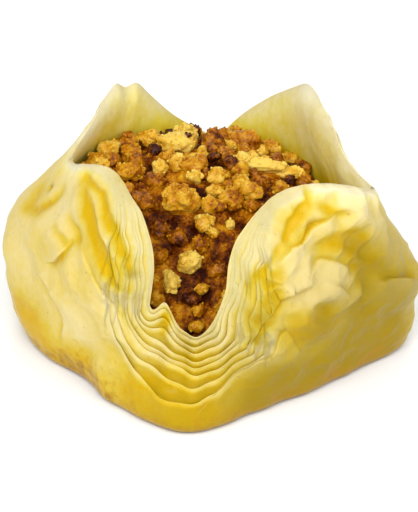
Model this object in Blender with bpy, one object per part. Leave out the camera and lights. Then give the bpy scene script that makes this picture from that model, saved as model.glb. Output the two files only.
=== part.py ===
"""Walnut baklava pouch: a stack of square filo sheets, folded up round a heap of chopped walnuts.

The sheets' four corners stand up as flaps over the four sides of a square base, and a notch lies between
each two flaps, over each corner of the base. The front notch, towards -X -Y, is the deep open one. There
the sheets are gathered, and their cut edges step down the outside, one layer below the other.

Everything is in metres, +Z up. Angles run anticlockwise round the pouch, seen from above, from +X.
"""

import math

import bmesh
import bpy
import numpy as np
from mathutils import Matrix, Vector, noise

MM = 0.001

# The whole pouch.
BASE_HALF = 22.8 * MM
STACK = 3.4 * MM
FLOOR_ROUNDING = 2.2 * MM
CORNER_EXPONENT_LOW = 5.0
CORNER_EXPONENT_HIGH = 3.4
WALL_TOP = 36.0 * MM
WALL_BULGE = 2.2 * MM

# Where the middle of the whole pouch lies, measured from the axis that the angles turn round.
MIDDLE_X = -0.76 * MM
MIDDLE_Y = -0.79 * MM

# The innermost sheet's edge, anticlockwise from the back notch: the angle and height of each point, and
# the angle of the point of the base below it. Height peaks at the flaps' tips and dips at the notches.
RIM = (
    (51, 18.4, 51),
    (57, 20.6, 56.5),
    (64, 23.6, 63),
    (70, 26.6, 69),
    (77, 30.2, 76.5),
    (84, 34.0, 83.5),
    (91, 33.7, 90.5),
    (98, 36.8, 97.5),
    (107, 34.2, 106),
    (118, 32.4, 117),
    (129, 31.2, 129),
    (140, 30.8, 140),
    (150, 31.4, 149.5),
    (160, 32.8, 160),
    (171, 34.8, 171),
    (182, 36.0, 182),
    (193, 35.4, 193.5),
    (201, 33.2, 202.5),
    (206, 30.2, 209),
    (209, 25.8, 213.5),
    (210.5, 20.8, 217),
    (213.5, 16.2, 220.5),
    (218.5, 12.8, 223),
    (225, 11.2, 225.5),
    (231.5, 13.0, 228),
    (236, 16.6, 230.5),
    (238.5, 21.2, 233.5),
    (240, 26.0, 237.5),
    (244, 29.6, 242.5),
    (250, 31.8, 249.5),
    (259, 33.8, 259),
    (269, 35.0, 269),
    (279, 34.8, 279),
    (289, 33.2, 289),
    (298, 31.0, 298),
    (308, 28.6, 308),
    (317, 27.4, 317),
    (327, 27.8, 327),
    (337, 29.2, 337),
    (345, 32.0, 345),
    (352, 34.2, 352),
    (360, 35.2, 360),
    (369, 35.0, 369),
    (377, 33.2, 376.5),
    (391, 28.6, 390),
    (401, 24.2, 400),
    (407, 20.8, 406.5),
)

# How far below the innermost sheet's edge the outermost one lies, along the wall, and how many steps the
# sheets' edges make in between.
EDGE_DROP_TIP = 2.6 * MM
EDGE_DROP_NOTCH = 8.2 * MM
EDGE_DROP_REACH = 34.0
FRONT_NOTCH = 225.0
STEPS = 4

# The front notch is gathered inwards, most at middle height, and its sheets make small upright pleats.
NOTCH_PULL = 4.6 * MM
NOTCH_PULL_REACH = 15.0
NOTCH_PULL_RISE = 13.0 * MM
NOTCH_RELEASE = 0.6
NOTCH_RELEASE_FROM = 16.0 * MM
NOTCH_RELEASE_TO = 34.0 * MM
PLEAT_DEPTH = 0.75 * MM
PLEAT_REACH = 17.0
PLEAT_ANGLE = 9.0
PLEAT_FROM = 2.0 * MM
PLEAT_TO = 8.0 * MM

# Where the wall leans inwards over a side corner and its sheets are pressed together: angle, reach in
# degrees, the height where the lean starts and the one where it ends, how far in, and the share of the
# stack's thickness that the pressing takes.
LEANS = (
    (133.0, 30.0, 17.0 * MM, 36.0 * MM, 5.8 * MM, 0.55),
    (333.0, 27.0, 11.0 * MM, 30.0 * MM, 4.4 * MM, 0.5),
)

# Swellings of the wall, outwards: angle, height, reach in degrees, reach upwards, depth.
SWELLINGS = (
    (138.0, 14.0 * MM, 14.0, 8.0 * MM, 2.0 * MM),
    (314.0, 12.0 * MM, 14.0, 6.0 * MM, 2.2 * MM),
    (318.0, 3.0 * MM, 11.0, 5.0 * MM, 2.0 * MM),
    (223.0, 1.0 * MM, 15.0, 8.0 * MM, 2.2 * MM),
    (51.0, 12.0 * MM, 14.0, 9.0 * MM, 1.2 * MM),
    (180.0, 17.0 * MM, 26.0, 9.0 * MM, 1.5 * MM),
    (268.0, 15.0 * MM, 24.0, 9.0 * MM, 1.8 * MM),
    (247.0, 26.0 * MM, 12.0, 7.0 * MM, 1.6 * MM),
    (202.0, 27.0 * MM, 10.0, 7.0 * MM, 1.4 * MM),
    (288.0, 29.0 * MM, 10.0, 4.0 * MM, 1.2 * MM),
)

# Long soft creases in the wall: the angle and height of each end, the width and the depth.
CREASES = (
    ((176.0, 32.0 * MM), (203.0, 23.5 * MM), 1.8 * MM, 1.0 * MM),
    ((189.0, 33.0 * MM), (199.0, 27.5 * MM), 1.4 * MM, 0.8 * MM),
    ((203.0, 23.0 * MM), (216.0, 12.0 * MM), 1.5 * MM, 0.8 * MM),
    ((143.0, 21.6 * MM), (155.0, 27.5 * MM), 1.5 * MM, 1.1 * MM),
    ((168.0, 25.0 * MM), (162.0, 21.0 * MM), 1.4 * MM, 0.7 * MM),
    ((261.0, 31.5 * MM), (251.0, 25.0 * MM), 1.5 * MM, 1.0 * MM),
    ((275.0, 27.5 * MM), (256.0, 24.0 * MM), 1.6 * MM, 1.0 * MM),
    ((268.0, 19.0 * MM), (243.0, 10.5 * MM), 1.9 * MM, 1.1 * MM),
    ((277.0, 19.0 * MM), (288.0, 15.0 * MM), 1.6 * MM, 0.9 * MM),
    ((281.0, 26.5 * MM), (290.0, 20.0 * MM), 2.2 * MM, 1.1 * MM),
    ((294.0, 28.0 * MM), (301.0, 17.0 * MM), 1.5 * MM, 0.9 * MM),
    ((301.0, 17.0 * MM), (315.0, 12.2 * MM), 1.5 * MM, 1.2 * MM),
)
CREASE_END_PHASE = 0.15

# The walnut heap: its top falls from the middle down to the front notch, and a little towards the wall.
FIT_GAP = 0.4 * MM
HEAP_TOP = 27.8 * MM
HEAP_MIDDLE = (-4.0 * MM, 6.0 * MM)
HEAP_EDGE_FALL = 5.3 * MM
HEAP_SLOPE = 0.8
HEAP_SLOPE_START = 2.0 * MM
HEAP_SLOPE_EASE = 3.5 * MM
HEAP_FOOT_GUESS = 19.0 * MM
HEAP_FOOT_TRIES = 14
HEAP_BUMP = 0.5 * MM
HEAP_BUMP_SIZE = 2.2 * MM
HEAP_FLAT_BRIM = 0.3

# The walnut pieces that show, broken small. They lie half sunk in the heap.
CHUNKS = 92
CHUNK_RADIUS_SMALL = 1.1 * MM
CHUNK_RADIUS_LARGE = 2.7 * MM
CHUNK_FINE = 1.9 * MM
CHUNK_SPACING = 0.7
CHUNK_REACH = 1.6
CHUNK_LIFT = 0.0
CHUNK_KNOBS = 0.42
CHUNK_KNOB_SIZE = 0.75
CHUNK_SQUASH = ((0.9, 1.2), (0.8, 1.05), (0.7, 0.95))
CHUNK_TILT = 0.5
CHUNK_NOISE_STEP = 5.3
CHUNK_SEED = 3

# Mesh density.
RING_POINTS = 96
FLOOR_ROWS = 2
ROUND_ROWS = 2
OUTER_WALL_ROWS = 7
INNER_WALL_ROWS = 9
HEAP_WALL_ROWS = 4
HEAP_TOP_ROWS = 6
HEAP_RING_POINTS = 72
SPLINE_STEPS = 24
MERGE_DISTANCE = 0.01 * MM
SHARP_ANGLE = math.radians(50.0)

PASTRY_COLOUR = (0.86, 0.70, 0.30, 1.0)
WALNUT_COLOUR = (0.46, 0.24, 0.07, 1.0)
PASTRY_ROUGHNESS = 0.45
WALNUT_ROUGHNESS = 0.5


def smooth(value, low, high):
    """0 below low, 1 above high, and a smooth rise between them."""
    t = np.clip((value - low) / (high - low), 0.0, 1.0)
    return t * t * (3.0 - 2.0 * t)


def degrees_from(angle, centre):
    """How many degrees angle (in radians) lies past centre (in degrees), from -180 to 180."""
    return (np.degrees(angle) - centre + 180.0) % 360.0 - 180.0


def rounded_square(angle, exponent):
    """Radius, at that angle, of a square of half side 1 with rounded corners."""
    c, s = np.abs(np.cos(angle)), np.abs(np.sin(angle))
    return (c**exponent + s**exponent) ** (-1.0 / exponent)


def corner_exponent(height):
    share = smooth(height, 0.0, WALL_TOP)
    return CORNER_EXPONENT_LOW + (CORNER_EXPONENT_HIGH - CORNER_EXPONENT_LOW) * share


def creases(angle, height):
    """How deep the long creases lie in the wall at a point."""
    depth = np.zeros(np.broadcast(angle, height).shape)
    for (angle_a, height_a), (angle_b, height_b), width, deep in CREASES:
        run = math.radians(angle_b - angle_a) * BASE_HALF
        rise = height_b - height_a
        along = np.radians(degrees_from(angle, angle_a)) * BASE_HALF
        up = height - height_a
        share = np.clip((along * run + up * rise) / (run * run + rise * rise), 0.0, 1.0)
        away = np.hypot(along - share * run, up - share * rise)
        phase = CREASE_END_PHASE + (1.0 - 2.0 * CREASE_END_PHASE) * share
        depth += deep * np.sin(math.pi * phase) * np.exp(-((away / width) ** 2))
    return depth


def front_gather(angle, height):
    """How far the front notch and its pleats lie inwards of the plain wall."""
    from_notch = degrees_from(angle, FRONT_NOTCH)
    released = NOTCH_RELEASE * smooth(height, NOTCH_RELEASE_FROM, NOTCH_RELEASE_TO)
    pull = NOTCH_PULL * smooth(height, 0.0, NOTCH_PULL_RISE) * (1.0 - released)
    pleat = PLEAT_DEPTH * np.sin(2.0 * math.pi * from_notch / PLEAT_ANGLE)
    pleat = pleat * smooth(height, PLEAT_FROM, PLEAT_TO)
    return (
        pull * np.exp(-((from_notch / NOTCH_PULL_REACH) ** 2))
        - pleat * np.exp(-((from_notch / PLEAT_REACH) ** 2))
    )


def side_lean(angle, height):
    """How far the side corners lean in at a point, and the share of the thickness that is left there."""
    lean = np.zeros(np.broadcast(angle, height).shape)
    left = np.ones_like(lean)
    for centre, reach, low, high, depth, pressed in LEANS:
        near = np.exp(-((degrees_from(angle, centre) / reach) ** 2)) * smooth(height, low, high)
        lean += depth * near
        left -= pressed * near
    return lean, left


def wall_radius(angle, height):
    """Distance from the pouch's axis to the wall's inner face."""
    half = BASE_HALF - STACK + WALL_BULGE * np.sin(math.pi * np.clip(height / WALL_TOP, 0.0, 1.0))
    radius = half * rounded_square(angle, corner_exponent(height))
    for centre, level, reach, reach_up, depth in SWELLINGS:
        across = degrees_from(angle, centre) / reach
        upwards = (height - level) / reach_up
        radius = radius + depth * np.exp(-(across**2) - upwards**2)
    return radius - side_lean(angle, height)[0] - front_gather(angle, height) - creases(angle, height)


def closed_spline(points, count):
    """count points, evenly spaced, on a smooth closed curve through points, round the full circle."""
    knots = np.array(points, float)
    turn = np.array([2.0 * math.pi * BASE_HALF, 0.0, 2.0 * math.pi])
    knots[:, 0] = np.radians(knots[:, 0]) * BASE_HALF
    knots[:, 1] *= MM
    knots[:, 2] = np.radians(knots[:, 2])
    ring = np.vstack([knots[-1] - turn, knots, knots[:2] + turn])
    fine = np.linspace(0.0, 1.0, SPLINE_STEPS, endpoint=False)[:, None]
    curve = []
    for a, b, c, d in zip(ring, ring[1:], ring[2:], ring[3:]):
        bend_a, bend_b = (c - a) / 2.0, (d - b) / 2.0
        curve.append(
            (2 * fine**3 - 3 * fine**2 + 1) * b
            + (fine**3 - 2 * fine**2 + fine) * bend_a
            + (3 * fine**2 - 2 * fine**3) * c
            + (fine**3 - fine**2) * bend_b
        )
    curve = np.vstack([*curve, knots[:1] + turn])
    length = np.concatenate([[0.0], np.cumsum(np.hypot(*np.diff(curve[:, :2], axis=0).T))])
    even = np.linspace(0.0, length[-1], count, endpoint=False)
    return np.column_stack([np.interp(even, length, column) for column in curve.T])


def rim_edges(count):
    """The sheets' edges, innermost first: angles and heights for each step, and the angles at the base."""
    spline = closed_spline(RIM, count)
    along, height, base_angle = spline.T
    turn = 2.0 * math.pi * BASE_HALF
    run = (np.roll(along, -1) - np.roll(along, 1) + turn / 2.0) % turn - turn / 2.0
    rise = np.roll(height, -1) - np.roll(height, 1)
    size = np.hypot(run, rise)
    nearness = np.exp(-((degrees_from(along / BASE_HALF, FRONT_NOTCH) / EDGE_DROP_REACH) ** 2))
    drop = EDGE_DROP_TIP + (EDGE_DROP_NOTCH - EDGE_DROP_TIP) * nearness
    edges = []
    for step in range(STEPS):
        share = drop * step / (STEPS - 1)
        edges.append(((along + share * rise / size) / BASE_HALF, height - share * run / size))
    return edges, base_angle


def on_wall(angle, height, offset):
    """Points on the wall, offset outwards from its inner face by a thickness of sheets."""
    thickness = offset * rounded_square(angle, corner_exponent(height)) * side_lean(angle, height)[1]
    radius = wall_radius(angle, height) + thickness
    return np.stack([radius * np.cos(angle), radius * np.sin(angle), height + 0.0 * radius], axis=-1)


def floor_and_rounding(base_angle, offset, floor_height):
    """Rings of a sheet's floor, from its middle outwards, and of the rounding up into the wall."""
    foot = on_wall(base_angle, np.full_like(base_angle, floor_height + FLOOR_ROUNDING), offset)
    reach = np.hypot(foot[:, 0], foot[:, 1])
    inner = (reach - FLOOR_ROUNDING) / reach
    rings = []
    for row in range(FLOOR_ROWS):
        share = (row / FLOOR_ROWS * inner)[:, None]
        rings.append(np.column_stack([foot[:, :2] * share, np.full(len(foot), floor_height)]))
    for row in range(ROUND_ROWS + 1):
        turn = math.pi / 2.0 * row / ROUND_ROWS
        share = ((reach - FLOOR_ROUNDING * (1.0 - math.sin(turn))) / reach)[:, None]
        lift = floor_height + FLOOR_ROUNDING * (1.0 - math.cos(turn))
        rings.append(np.column_stack([foot[:, :2] * share, np.full(len(foot), lift)]))
    return rings


def wall_rings(base_angle, low, edge, offset, rows):
    """Rings of the wall, from above its rounding up to a sheet's edge."""
    edge_angle, edge_height = edge
    rings = []
    for row in range(1, rows + 1):
        share = row / rows
        angle = base_angle + (edge_angle - base_angle) * share**2
        rings.append(on_wall(angle, low + (edge_height - low) * share, offset))
    return rings


def mesh_from_rings(name, rings):
    """A closed mesh through rings of points, from a grid whose seam and whose two end rings are merged."""
    bm = bmesh.new()
    rows, columns = len(rings), len(rings[0])
    bmesh.ops.create_grid(bm, x_segments=columns, y_segments=rows - 1, size=1.0)
    for vertex in bm.verts:
        column = round((vertex.co.x + 1.0) / 2.0 * columns) % columns
        row = round((vertex.co.y + 1.0) / 2.0 * (rows - 1))
        vertex.co = Vector(rings[row][column])
    bmesh.ops.remove_doubles(bm, verts=bm.verts, dist=MERGE_DISTANCE)
    bmesh.ops.recalc_face_normals(bm, faces=bm.faces)
    mesh = bpy.data.meshes.new(name)
    bm.to_mesh(mesh)
    bm.free()
    return mesh


def add_object(name, mesh, collection, colour, roughness):
    material = bpy.data.materials.new(name)
    material.use_nodes = True
    shader = material.node_tree.nodes["Principled BSDF"]
    shader.inputs["Base Color"].default_value = colour
    shader.inputs["Roughness"].default_value = roughness
    shader.inputs["Metallic"].default_value = 0.0
    mesh.materials.append(material)
    obj = bpy.data.objects.new(name, mesh)
    collection.objects.link(obj)
    return obj


def make_pouch(collection):
    """The folded stack of sheets, whose edges step down outside the rim."""
    edges, base_angle = rim_edges(RING_POINTS)
    outer = floor_and_rounding(base_angle, STACK, 0.0)
    outer += wall_rings(base_angle, FLOOR_ROUNDING, edges[-1], STACK, OUTER_WALL_ROWS)
    steps = []
    for step in range(STEPS - 1, 0, -1):
        offset = STACK * step / STEPS
        steps.append(on_wall(*edges[step], offset))
        steps.append(on_wall(*edges[step - 1], offset))
    inner = floor_and_rounding(base_angle, 0.0, STACK)
    inner += wall_rings(base_angle, STACK + FLOOR_ROUNDING, edges[0], 0.0, INNER_WALL_ROWS)
    mesh = mesh_from_rings("filo_pouch", outer + steps + inner[::-1])
    return add_object("filo_pouch", mesh, collection, PASTRY_COLOUR, PASTRY_ROUGHNESS)


def heap_height(x, y):
    """Height of the walnut heap's top over a point."""
    front = -(x + y) / math.sqrt(2.0) - HEAP_SLOPE_START
    slide = HEAP_SLOPE_EASE * np.log1p(np.exp(front / HEAP_SLOPE_EASE))
    away = np.hypot(x - HEAP_MIDDLE[0], y - HEAP_MIDDLE[1])
    return HEAP_TOP - HEAP_SLOPE * slide - HEAP_EDGE_FALL * (away / BASE_HALF) ** 2


def heap_gap(angle):
    """The gap between the heap and the wall, wider where the wall is pleated."""
    return FIT_GAP + PLEAT_DEPTH * np.exp(-((degrees_from(angle, FRONT_NOTCH) / PLEAT_REACH) ** 2))


def heap_foot(angle):
    """Where the heap's top meets the wall at each angle: the radius and the height."""
    height = np.full_like(angle, HEAP_FOOT_GUESS)
    for _ in range(HEAP_FOOT_TRIES):
        radius = wall_radius(angle, height) - heap_gap(angle)
        height = (height + heap_height(radius * np.cos(angle), radius * np.sin(angle))) / 2.0
    return radius, height


def make_heap_core(collection):
    _, angle = rim_edges(HEAP_RING_POINTS)
    _, top = heap_foot(angle)
    low = STACK + FIT_GAP + FLOOR_ROUNDING
    rings = floor_and_rounding(angle, -heap_gap(angle), STACK + FIT_GAP)
    rings += wall_rings(angle, low, (angle, top), -heap_gap(angle), HEAP_WALL_ROWS)
    brim = rings[-1]
    for row in range(1, HEAP_TOP_ROWS + 1):
        share = 1.0 - row / HEAP_TOP_ROWS
        x, y = brim[:, 0] * share, brim[:, 1] * share
        bump = [noise.noise(Vector((a, b, 0.0)) / HEAP_BUMP_SIZE) for a, b in zip(x, y)]
        lift = HEAP_BUMP * np.array(bump) * smooth(1.0 - share, 0.0, HEAP_FLAT_BRIM)
        rings.append(np.column_stack([x, y, heap_height(x, y) + lift]))
    rings[-1][:] = rings[-1][0]
    mesh = mesh_from_rings("walnut_filling", rings)
    return add_object("walnut_filling", mesh, collection, WALNUT_COLOUR, WALNUT_ROUGHNESS)


def room_for_chunk(angle, radius):
    """How far from the axis a piece's middle may lie at that angle, clear of the wall round about it."""
    _, height = heap_foot(np.array([angle]))
    around = np.array([-1.0, 0.0, 1.0]) * radius
    wall = wall_radius(angle + around[:, None] / BASE_HALF, height + around)
    return wall.min() - radius * CHUNK_REACH


def chunk_places(rng):
    """Centres and radii of the walnut pieces on the heap, clear of the wall and of each other's middles."""
    places = []
    while len(places) < CHUNKS:
        share = 1.0 - len(places) / CHUNKS
        radius = CHUNK_RADIUS_SMALL + (CHUNK_RADIUS_LARGE - CHUNK_RADIUS_SMALL) * share**2
        angle, out = rng.uniform(0.0, 2.0 * math.pi), math.sqrt(rng.uniform())
        distance = room_for_chunk(angle, radius) * out
        x, y = distance * math.cos(angle), distance * math.sin(angle)
        centre = Vector((x, y, float(heap_height(x, y)) + CHUNK_LIFT * radius))
        if all((centre - other).length > CHUNK_SPACING * (radius + size) for other, size in places):
            places.append((centre, radius))
    return places


def make_chunk(index, centre, radius, rng, collection):
    """One broken piece of walnut: a knobbly, slightly flattened ball."""
    bm = bmesh.new()
    bmesh.ops.create_icosphere(bm, subdivisions=2 if radius > CHUNK_FINE else 1, radius=radius)
    for vertex in bm.verts:
        place = vertex.co / radius / CHUNK_KNOB_SIZE + Vector((index * CHUNK_NOISE_STEP, 0.0, 0.0))
        lump = noise.noise(place)
        vertex.co *= 1.0 + CHUNK_KNOBS * lump
    squash = Matrix.Diagonal([rng.uniform(low, high) for low, high in CHUNK_SQUASH] + [1.0])
    turn = Matrix.Rotation(rng.uniform(0.0, math.pi), 4, "Z")
    tilt = Matrix.Rotation(rng.uniform(-CHUNK_TILT, CHUNK_TILT), 4, "X")
    bm.transform(Matrix.Translation(centre) @ turn @ tilt @ squash)
    mesh = bpy.data.meshes.new(f"chunk_{index:02d}")
    bm.to_mesh(mesh)
    bm.free()
    obj = bpy.data.objects.new(mesh.name, mesh)
    collection.objects.link(obj)
    return obj


def remove_pockets(mesh):
    """Takes out the small sealed pockets that are left between pieces, and keeps the one large surface."""
    bm = bmesh.new()
    bm.from_mesh(mesh)
    unseen = set(bm.faces)
    surfaces = []
    while unseen:
        surface = [unseen.pop()]
        for face in surface:
            for edge in face.edges:
                fresh = unseen.intersection(edge.link_faces)
                surface.extend(fresh)
                unseen -= fresh
        surfaces.append(surface)
    surfaces.sort(key=len)
    for surface in surfaces[:-1]:
        bmesh.ops.delete(bm, geom=surface, context="FACES")
    bm.to_mesh(mesh)
    bm.free()


def join_chunks(core, collection):
    """Makes the core and the pieces on it one solid, and removes the loose pieces."""
    union = core.modifiers.new("join pieces", "BOOLEAN")
    union.operation = "UNION"
    union.operand_type = "COLLECTION"
    union.collection = collection
    union.solver = "MANIFOLD"
    graph = bpy.context.evaluated_depsgraph_get()
    joined = bpy.data.meshes.new_from_object(core.evaluated_get(graph))
    core.modifiers.clear()
    loose, core.data = core.data, joined
    bpy.data.meshes.remove(loose)
    joined.name = "walnut_filling"
    remove_pockets(joined)
    for obj in list(collection.objects):
        bpy.data.objects.remove(obj)
    bpy.data.collections.remove(collection)


def make_filling(collection):
    core = make_heap_core(collection)
    pieces = bpy.data.collections.new("walnut pieces")
    bpy.context.scene.collection.children.link(pieces)
    rng = np.random.default_rng(CHUNK_SEED)
    for index, (centre, radius) in enumerate(chunk_places(rng)):
        make_chunk(index, centre, radius, rng, pieces)
    join_chunks(core, pieces)
    return core


def main():
    for obj in list(bpy.data.objects):
        bpy.data.objects.remove(obj, do_unlink=True)
    collection = bpy.data.collections.new("baklava_pouch")
    bpy.context.scene.collection.children.link(collection)
    pouch = make_pouch(collection)
    pouch.data.shade_smooth()
    pouch.data.set_sharp_from_angle(angle=SHARP_ANGLE)
    make_filling(collection)
    for obj in collection.objects:
        obj.data.transform(Matrix.Translation((-MIDDLE_X, -MIDDLE_Y, 0.0)))


main()
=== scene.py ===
"""Looks of the walnut baklava pouch: nine thin filo sheets round a heap of chopped, syrupy walnuts.

Everything is in metres, +Z up. Angles run anticlockwise round the pouch, seen from above, from +X, and
are measured round the axis that lies at AXIS.
"""

import math
from collections import namedtuple

import bmesh
import bpy
import numpy as np
from mathutils import Matrix, Vector, noise


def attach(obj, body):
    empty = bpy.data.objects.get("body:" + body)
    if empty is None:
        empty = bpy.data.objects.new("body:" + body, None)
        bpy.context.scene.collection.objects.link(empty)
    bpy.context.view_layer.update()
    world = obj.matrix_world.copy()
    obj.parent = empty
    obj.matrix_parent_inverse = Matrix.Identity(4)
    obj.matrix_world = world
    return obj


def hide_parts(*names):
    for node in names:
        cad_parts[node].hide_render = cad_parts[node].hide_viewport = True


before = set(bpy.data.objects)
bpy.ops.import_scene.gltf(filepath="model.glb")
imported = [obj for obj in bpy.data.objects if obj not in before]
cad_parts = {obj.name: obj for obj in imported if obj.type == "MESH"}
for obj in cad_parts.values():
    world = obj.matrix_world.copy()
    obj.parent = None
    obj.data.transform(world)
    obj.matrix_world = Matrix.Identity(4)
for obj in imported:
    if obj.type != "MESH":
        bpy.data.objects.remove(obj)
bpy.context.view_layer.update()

bl_info = {
    "name": "Walnut baklava pouch",
    "version": (1, 0, 0),
    "blender": (4, 5, 0),
    "location": "3D View > Sidebar > Baklava",
    "description": "Builds a folded filo pouch filled with chopped walnuts",
    "category": "Add Mesh",
}

MM = 0.001

# The wall and the rim, as in the solid, but with the rim and the foot of the wall drawn more closely. The
# rim's rows hold the angle and height in mm of its points, and the angle of the base below each of them.
AXIS = (0.76 * MM, 0.79 * MM)
BASE_HALF = 22.8 * MM
STACK = 3.4 * MM
FLOOR_ROUNDING = 2.2 * MM
CORNER_EXPONENT_LOW = 5.0
CORNER_EXPONENT_HIGH = 3.4
WALL_TOP = 36.0 * MM
WALL_BULGE = 2.2 * MM
RIM = (
    (51, 18.4, 51),
    (57, 20.6, 56.5),
    (64, 23.6, 63),
    (70, 26.6, 69),
    (77, 30.2, 76.5),
    (84, 33.4, 83.5),
    (91, 33.8, 90.5),
    (98, 35.6, 97.5),
    (107, 35.3, 106),
    (118, 34.5, 117),
    (129, 32.6, 129),
    (140, 30.8, 140),
    (150, 31.4, 149.5),
    (160, 32.8, 160),
    (171, 34.8, 171),
    (182, 35.9, 182),
    (193, 35.2, 192),
    (201, 33.8, 199),
    (207.5, 31.6, 203.5),
    (211, 28.2, 206),
    (212, 24.4, 207.4),
    (211.4, 21.0, 208.6),
    (210.4, 18.2, 210),
    (211.4, 16.0, 212),
    (214.4, 14.7, 215),
    (217.8, 13.9, 218.2),
    (221.6, 13.2, 221.8),
    (225.5, 12.8, 225.5),
    (229, 13.0, 228.6),
    (232, 14.2, 231.2),
    (235, 17.0, 233.6),
    (238, 21.2, 236.4),
    (239.3, 26.0, 239.4),
    (242.5, 29.8, 243),
    (248.5, 32.2, 248.6),
    (258, 33.9, 258),
    (269, 34.9, 269),
    (279, 34.8, 279),
    (289, 33.2, 289),
    (298, 31.0, 298),
    (308, 28.6, 308),
    (317, 27.4, 317),
    (327, 28.5, 327),
    (337, 31.2, 337),
    (345, 33.6, 345),
    (352, 34.8, 352),
    (360, 35.2, 360),
    (369, 35.0, 369),
    (377, 33.2, 376.5),
    (391, 28.6, 390),
    (401, 24.2, 400),
    (407, 20.8, 406.5),
)
SPLINE_STEPS = 24

# The gathered front notch, the side corners that lean in (angle, reach, from height, to height, depth and
# share of the thickness that is lost) and the swellings of the wall (angle, height, reaches and depth).
FRONT_NOTCH = 225.0
NOTCH_PULL = 4.6 * MM
NOTCH_PULL_REACH = 15.0
NOTCH_PULL_RISE = 13.0 * MM
NOTCH_RELEASE = 0.6
NOTCH_RELEASE_FROM = 16.0 * MM
NOTCH_RELEASE_TO = 34.0 * MM
PLEAT_DEPTH = 0.35 * MM
PLEAT_REACH = 17.0
PLEAT_ANGLE = 9.0
PLEAT_FROM = 2.0 * MM
PLEAT_TO = 8.0 * MM
LEANS = (
    (133.0, 30.0, 17.0 * MM, 36.0 * MM, 5.8 * MM, 0.55),
    (333.0, 27.0, 11.0 * MM, 30.0 * MM, 4.4 * MM, 0.5),
)
SWELLINGS = (
    (138.0, 14.0 * MM, 14.0, 8.0 * MM, 2.0 * MM),
    (314.0, 12.0 * MM, 14.0, 6.0 * MM, 2.2 * MM),
    (318.0, 3.0 * MM, 11.0, 5.0 * MM, 2.0 * MM),
    (223.0, 1.0 * MM, 15.0, 8.0 * MM, 2.2 * MM),
    (51.0, 12.0 * MM, 14.0, 9.0 * MM, 1.2 * MM),
    (180.0, 17.0 * MM, 26.0, 9.0 * MM, 1.5 * MM),
    (268.0, 15.0 * MM, 24.0, 9.0 * MM, 1.8 * MM),
    (247.0, 26.0 * MM, 12.0, 7.0 * MM, 1.6 * MM),
    (202.0, 27.0 * MM, 10.0, 7.0 * MM, 1.4 * MM),
    (288.0, 29.0 * MM, 10.0, 4.0 * MM, 1.2 * MM),
    (197.0, 1.5 * MM, 14.0, 6.0 * MM, 2.1 * MM),
    (171.0, 2.5 * MM, 16.0, 6.0 * MM, 1.2 * MM),
    (151.0, 4.0 * MM, 20.0, 6.5 * MM, 2.3 * MM),
    (275.0, 1.5 * MM, 28.0, 6.0 * MM, 0.9 * MM),
    (342.0, 30.0 * MM, 11.0, 6.0 * MM, 1.0 * MM),
)

# The heap: its highest point and how its top falls towards the wall and slides down to the front notch.
HEAP_TOP = 27.8 * MM
HEAP_MIDDLE = (-4.0 * MM, 6.0 * MM)
HEAP_EDGE_FALL = 5.3 * MM
HEAP_SLOPE = 0.8
HEAP_SLOPE_START = 2.0 * MM
HEAP_SLOPE_EASE = 3.5 * MM
HEAP_FOOT_GUESS = 19.0 * MM
HEAP_FOOT_TRIES = 14

# The sheets: the whole drop of their edges at the tips and at the front notch, how far down each one's edge
# lies as a share of it, and how the edges sway and wave.
SHEETS = 9
EDGE_DROP_TIP = 0.5 * MM
EDGE_DROP_NOTCH = 8.2 * MM
EDGE_DROP_REACH = 19.0
EDGE_SHARES = (0.0, 0.06, 0.15, 0.27, 0.39, 0.51, 0.64, 0.8, 1.0)
EDGE_LEAST_STEP = 0.04 * MM
EDGE_SWAY = 6.0
EDGE_SWAY_TURN = 2.3
EDGE_RAGGED = 0.85
EDGE_WAVE = 0.48 * MM
EDGE_WAVE_LENGTH = 4.0 * MM
EDGE_RAGGED_LENGTH = 7.0 * MM

# How far the sheets stand apart: open at the bottom of the front notch, in the fan, and pressed together
# near their edges elsewhere, with the rim rolled outwards away from the notch.
NOTCH_REACH = 26.0
FAN_REACH = 17.0
FAN_FROM = 22.0 * MM
FAN_TO = 13.0 * MM
BAND_OPEN = 0.07
BAND_REACH = 34.0
FLARE_REACH = 0.75 * MM
LOOSE_REACH = 2.0 * MM
PRESSED_SHARE = 0.1
PRESSED_REACH = 1.5 * MM
ROLL_FROM = 34.0
ROLL_TO = 58.0
ROLL_REACH = 1.8 * MM

# The hidden parts of a sheet are drawn in, clear of the sheets over them, and its inner side a little too.
# Beside the front notch, pressed sheets keep the thinnest share of their thickness.
COVER_FROM = 0.7 * MM
COVER_TO = 2.2 * MM
COVER_FIRST = 0.12 * MM
COVER_STEP = 0.07 * MM
COVER_SKIN = 0.04 * MM
INNER_SIDE_SINK = 0.12 * MM
INNER_SIDE_FROM = 0.15 * MM
INNER_SIDE_TO = 0.8 * MM
THINNEST = 0.4

# Over how many columns the edges and the base are evened, and how unevenly the sheets lie on each other.
EDGE_EVENED = 6
BASE_EVENED = 10
LEAST_BASE_STEP = 0.2
GAP_UNEVEN = 0.45
GAP_SIZE = 5.0 * MM
GAP_LEAST = 0.05 * MM
INNER_SHARE = 0.3
PLEAT_SLIP = 0.3

# The grids of the sheets. Columns run round a sheet, and rows up its wall, closer together towards its edge
# the higher the power is. Floor rows lie under the heap, and round rows between the floor and the wall.
Grid = namedtuple("Grid", "columns outer_rows outer_power inner_rows inner_power outer_floor inner_floor")
INNERMOST_GRID = Grid(744, 40, 2.0, 70, 1.3, 2, 3)
MIDDLE_GRID = Grid(620, 58, 1.7, 24, 1.9, 2, 2)
OUTERMOST_GRID = Grid(744, 104, 1.35, 16, 1.8, 10, 2)
ROUND_ROWS = 3
ROUND_ROWS_OUTERMOST = 6

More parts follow.
